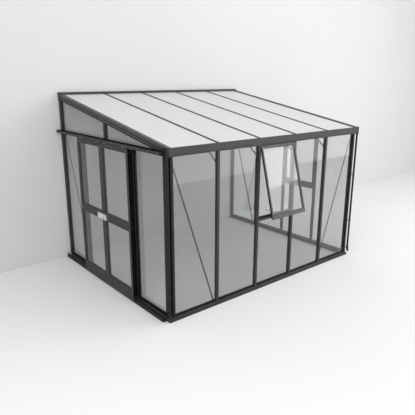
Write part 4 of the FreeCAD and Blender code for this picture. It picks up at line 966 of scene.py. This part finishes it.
class GreenhouseFasteners(Step):
    """Hexagon bolts, anchors and screws of the frame, the door leaves, the lock and the gutter"""

    bl_idname = "greenhouse.fasteners"
    bl_label = "Bolts and screws"

    def facing(self, box, out, z):
        """The middle of the face that a box turns to a direction, at a height, and the direction."""
        low, high = box
        place = np.where(out > 0, high, np.where(out < 0, low, (low + high) / 2))
        place[2] = z
        return place, out

    def bars(self):
        """Bolts at both ends of the bars and jambs, and in the knee braces."""
        eave = corners("eave_gutter")[0][2] - 0.030
        header = corners("gable_header_far")[0][2] - 0.028
        foot, leg, rises = 0.112, 0.003, (0.011, 0.064)
        pairs = [self.facing(box, out, z)
                 for node, out, top in (("front_bars", INWARD, eave), ("far_bars", -ALONG, header),
                                        ("door_jambs", ALONG, header))
                 for box in loose_boxes(node) for z in (foot, top)]
        pairs += [(((low[0] + high[0]) / 2, low[1] + leg, low[2] + rise), INWARD)
                  for low, high in loose_boxes("knee_braces") for rise in rises]
        build("frame_bolts", [heads(HEXAGON_HEAD, sizes().bolt, pairs)], "steel")

    def braces(self):
        """Bolts at the ends of the flat diagonal bars, found from the bars' boxes. A bar in the front wall
        leans along X, its foot towards the middle; the others lean along Y."""
        level, flat = 0.030, 0.01
        pairs = []
        for low, high in loose_boxes("wind_braces"):
            left = low[0] < 0
            outer, inner = (low[0], high[0]) if left else (high[0], low[0])
            deep, tall = (high - low)[1:]
            for z in (high[2] - level, low[2] + level):
                fallen = (high[2] - z) / tall
                if deep < flat:
                    pairs.append(((outer + fallen * (inner - outer), high[1], z), INWARD))
                else:
                    pairs.append(((inner, high[1] - fallen * deep, z), ALONG if left else -ALONG))
        build("brace_bolts", [heads(HEXAGON_HEAD, sizes().bolt, pairs)], "steel")

    def anchors(self):
        """Ground anchors in the sill's flange and screws in the wall plate's leg."""
        bolt = sizes().bolt
        middles = [(start + stop) / 2 for start, stop in front_bays()]
        pitch = middles[2] - middles[1]
        flange_y, flange_z, leg, drop = 0.031, 0.004, 0.006, 0.104
        high = corners("wall_plate")[1]
        steps = range(-2, 3)
        anchors = [((pitch * step, flange_y, flange_z), UP) for step in steps]
        screws = [((pitch * step, high[1] - leg, high[2] - drop), -INWARD) for step in steps]
        build("anchors_and_wall_screws", [heads(HEXAGON_HEAD, bolt, anchors),
                                          heads(HEXAGON_HEAD, bolt * SMALLER, screws)], "steel")

    def door(self):
        """Screws at the leaves' corners, where the lock's plates leave room, and on these plates."""
        s = sizes()
        face = corners("lock_keeper")[0][0]
        inset, feet, head = 0.011, (0.083, 0.153), 0.018
        for tag, lock in (("wall", "lock_case"), ("front", "lock_keeper")):
            low, high = corners("door_frame_" + tag)
            heights = (low[2] + feet[0], low[2] + feet[1], s.mid_rail, high[2] - head)
            stiles = (low[1] + s.stile / 2, high[1] - s.stile / 2)
            places = np.array([(low[0], y, z) for y in stiles for z in heights])
            low, high = corners(lock)
            covered = ((low < places) & (places < high))[:, 1:].all(1)
            pairs = [(place, -ALONG) for place in places[~covered]]
            build("leaf_screws_" + tag, [heads(PAN_HEAD, s.screw, pairs)], "frame", "leaf_" + tag)
            pairs = [((face, y, z), -ALONG) for y in (low[1] + inset, high[1] - inset)
                     for z in (low[2] + inset, high[2] - inset)]
            build(lock + "_screws", [heads(PAN_HEAD, s.screw * SMALLER, pairs)], "steel", "leaf_" + tag)

    def gutter(self):
        """Screws on the outer faces of the gutter's end boxes."""
        drops = (0.018, 0.090)
        pairs = [self.facing((low, high), -ALONG if low[0] < 0 else ALONG, high[2] - drop)
                 for low, high in loose_boxes("gutter_ends") for drop in drops]
        build("gutter_end_screws", [heads(PAN_HEAD, sizes().screw, pairs)], "pipe")

    def make(self):
        self.bars()
        self.braces()
        self.anchors()
        self.door()
        self.gutter()


class GreenhouseStage(Step):
    """Floor, wall, lights and camera of the studio"""

    bl_idname = "greenhouse.stage"
    bl_label = "Stage"

    def sheet(self, name, points, material):
        """A flat piece of the studio."""
        mesh = bpy.data.meshes.new(name)
        mesh.from_pydata(points, [], [(0, 1, 2, 3)])
        mesh.materials.append(material)
        add_object(name, mesh)

    def lamp(self, name, place, aim, size, power, card):
        """Soft light at a place, facing a point. A card only shows in glass and metal."""
        light = bpy.data.lights.new(name, "AREA")
        light.shape = "RECTANGLE"
        light.size, light.size_y = size
        light.energy = power
        lamp = add_object(name, light)
        lamp.visible_diffuse = not card
        lamp.location = place
        lamp.rotation_euler = (Vector(aim) - Vector(place)).to_track_quat("-Z", "Y").to_euler()

    def world(self):
        """Pale world: white where the camera, metal or glass sees it, softer as a light."""
        world = bpy.data.worlds.new("studio")
        bpy.context.scene.world = world
        tree = Tree(world)
        ray = tree.add("ShaderNodeLightPath").outputs
        seen = tree.reckon("MAXIMUM", ray["Is Camera Ray"], ray["Is Glossy Ray"])
        seen = tree.reckon("MAXIMUM", seen, ray["Is Transmission Ray"])
        back = tree.add("ShaderNodeBackground", Color=WHITE)
        tree.put(tree.span(seen, WORLD_LIGHT, 1.0, 0.0, 1.0), back, "Strength")
        tree.finish(back.outputs["Background"], "World")

    def camera(self):
        """Camera at the photograph's place and angle."""
        side, drop, roll = (math.radians(angle) for angle in CAMERA_ANGLES)
        ahead = Vector((math.sin(side) * math.cos(drop), math.cos(side) * math.cos(drop), -math.sin(drop)))
        level = ahead.cross(Vector(UP)).normalized()
        rise = level.cross(ahead)
        right = level * math.cos(roll) + rise * math.sin(roll)
        up = rise * math.cos(roll) - level * math.sin(roll)
        data = bpy.data.cameras.new("camera")
        data.lens, data.sensor_width, data.clip_end = CAMERA_LENS, CAMERA_SENSOR, CAMERA_REACH
        camera = add_object("camera", data)
        turn = Matrix((right, up, -ahead)).transposed().to_4x4()
        camera.matrix_world = Matrix.Translation(CAMERA_PLACE) @ turn
        bpy.context.scene.camera = camera

    def make(self):
        c = bpy.context.scene.greenhouse_colours
        (left, right), (front, back) = FLOOR_X, FLOOR_Y
        y, z = START_BOUNDS[1][1] + STAGE_GAP, -STAGE_GAP
        self.sheet("floor", [(left, front, z), (right, front, z), (right, back, z), (left, back, z)],
                   stage_paint("studio_floor", c.floor))
        # The wall's colour darkens towards the left: painted shade beside the greenhouse
        self.sheet("wall", [(-right, y, z), (right, y, z), (right, y, WALL_TOP), (-right, y, WALL_TOP)],
                   stage_paint("studio_wall", c.wall, one_sided=True, fall=WALL_PAINTED_SHADE))
        for lamp in LAMPS:
            self.lamp(*lamp)
        self.world()
        self.camera()
        bpy.context.scene.view_settings.view_transform = "Standard"


class GreenhousePanel(bpy.types.Panel):
    """Lists the steps in the 3D view's sidebar"""

    bl_idname = "VIEW3D_PT_greenhouse"
    bl_label = "Greenhouse"
    bl_space_type = "VIEW_3D"
    bl_region_type = "UI"
    bl_category = "Greenhouse"

    def draw(self, context):
        for step in STEPS:
            self.layout.operator(step.bl_idname)
        for group in (context.scene.greenhouse_sizes, context.scene.greenhouse_colours):
            for key in group.__annotations__:
                self.layout.prop(group, key)


STEPS = (GreenhouseMaterials, GreenhouseRoof, GreenhouseGaskets, GreenhouseWindows, GreenhouseSeals,
         GreenhouseCaps, GreenhouseFasteners, GreenhouseStage)
CLASSES = (GreenhouseSizes, GreenhouseColours, *STEPS, GreenhousePanel)


def register():
    for cls in CLASSES:
        bpy.utils.register_class(cls)
    bpy.types.Scene.greenhouse_sizes = bpy.props.PointerProperty(type=GreenhouseSizes)
    bpy.types.Scene.greenhouse_colours = bpy.props.PointerProperty(type=GreenhouseColours)


def unregister():
    del bpy.types.Scene.greenhouse_colours
    del bpy.types.Scene.greenhouse_sizes
    for cls in reversed(CLASSES):
        bpy.utils.unregister_class(cls)


def main():
    """Registers the add-on and runs its steps; the bounds at the start are noted when the script is loaded."""
    register()
    for step in STEPS:
        group, name = step.bl_idname.split(".")
        getattr(getattr(bpy.ops, group), name)()


if __name__ == "__main__":
    main()
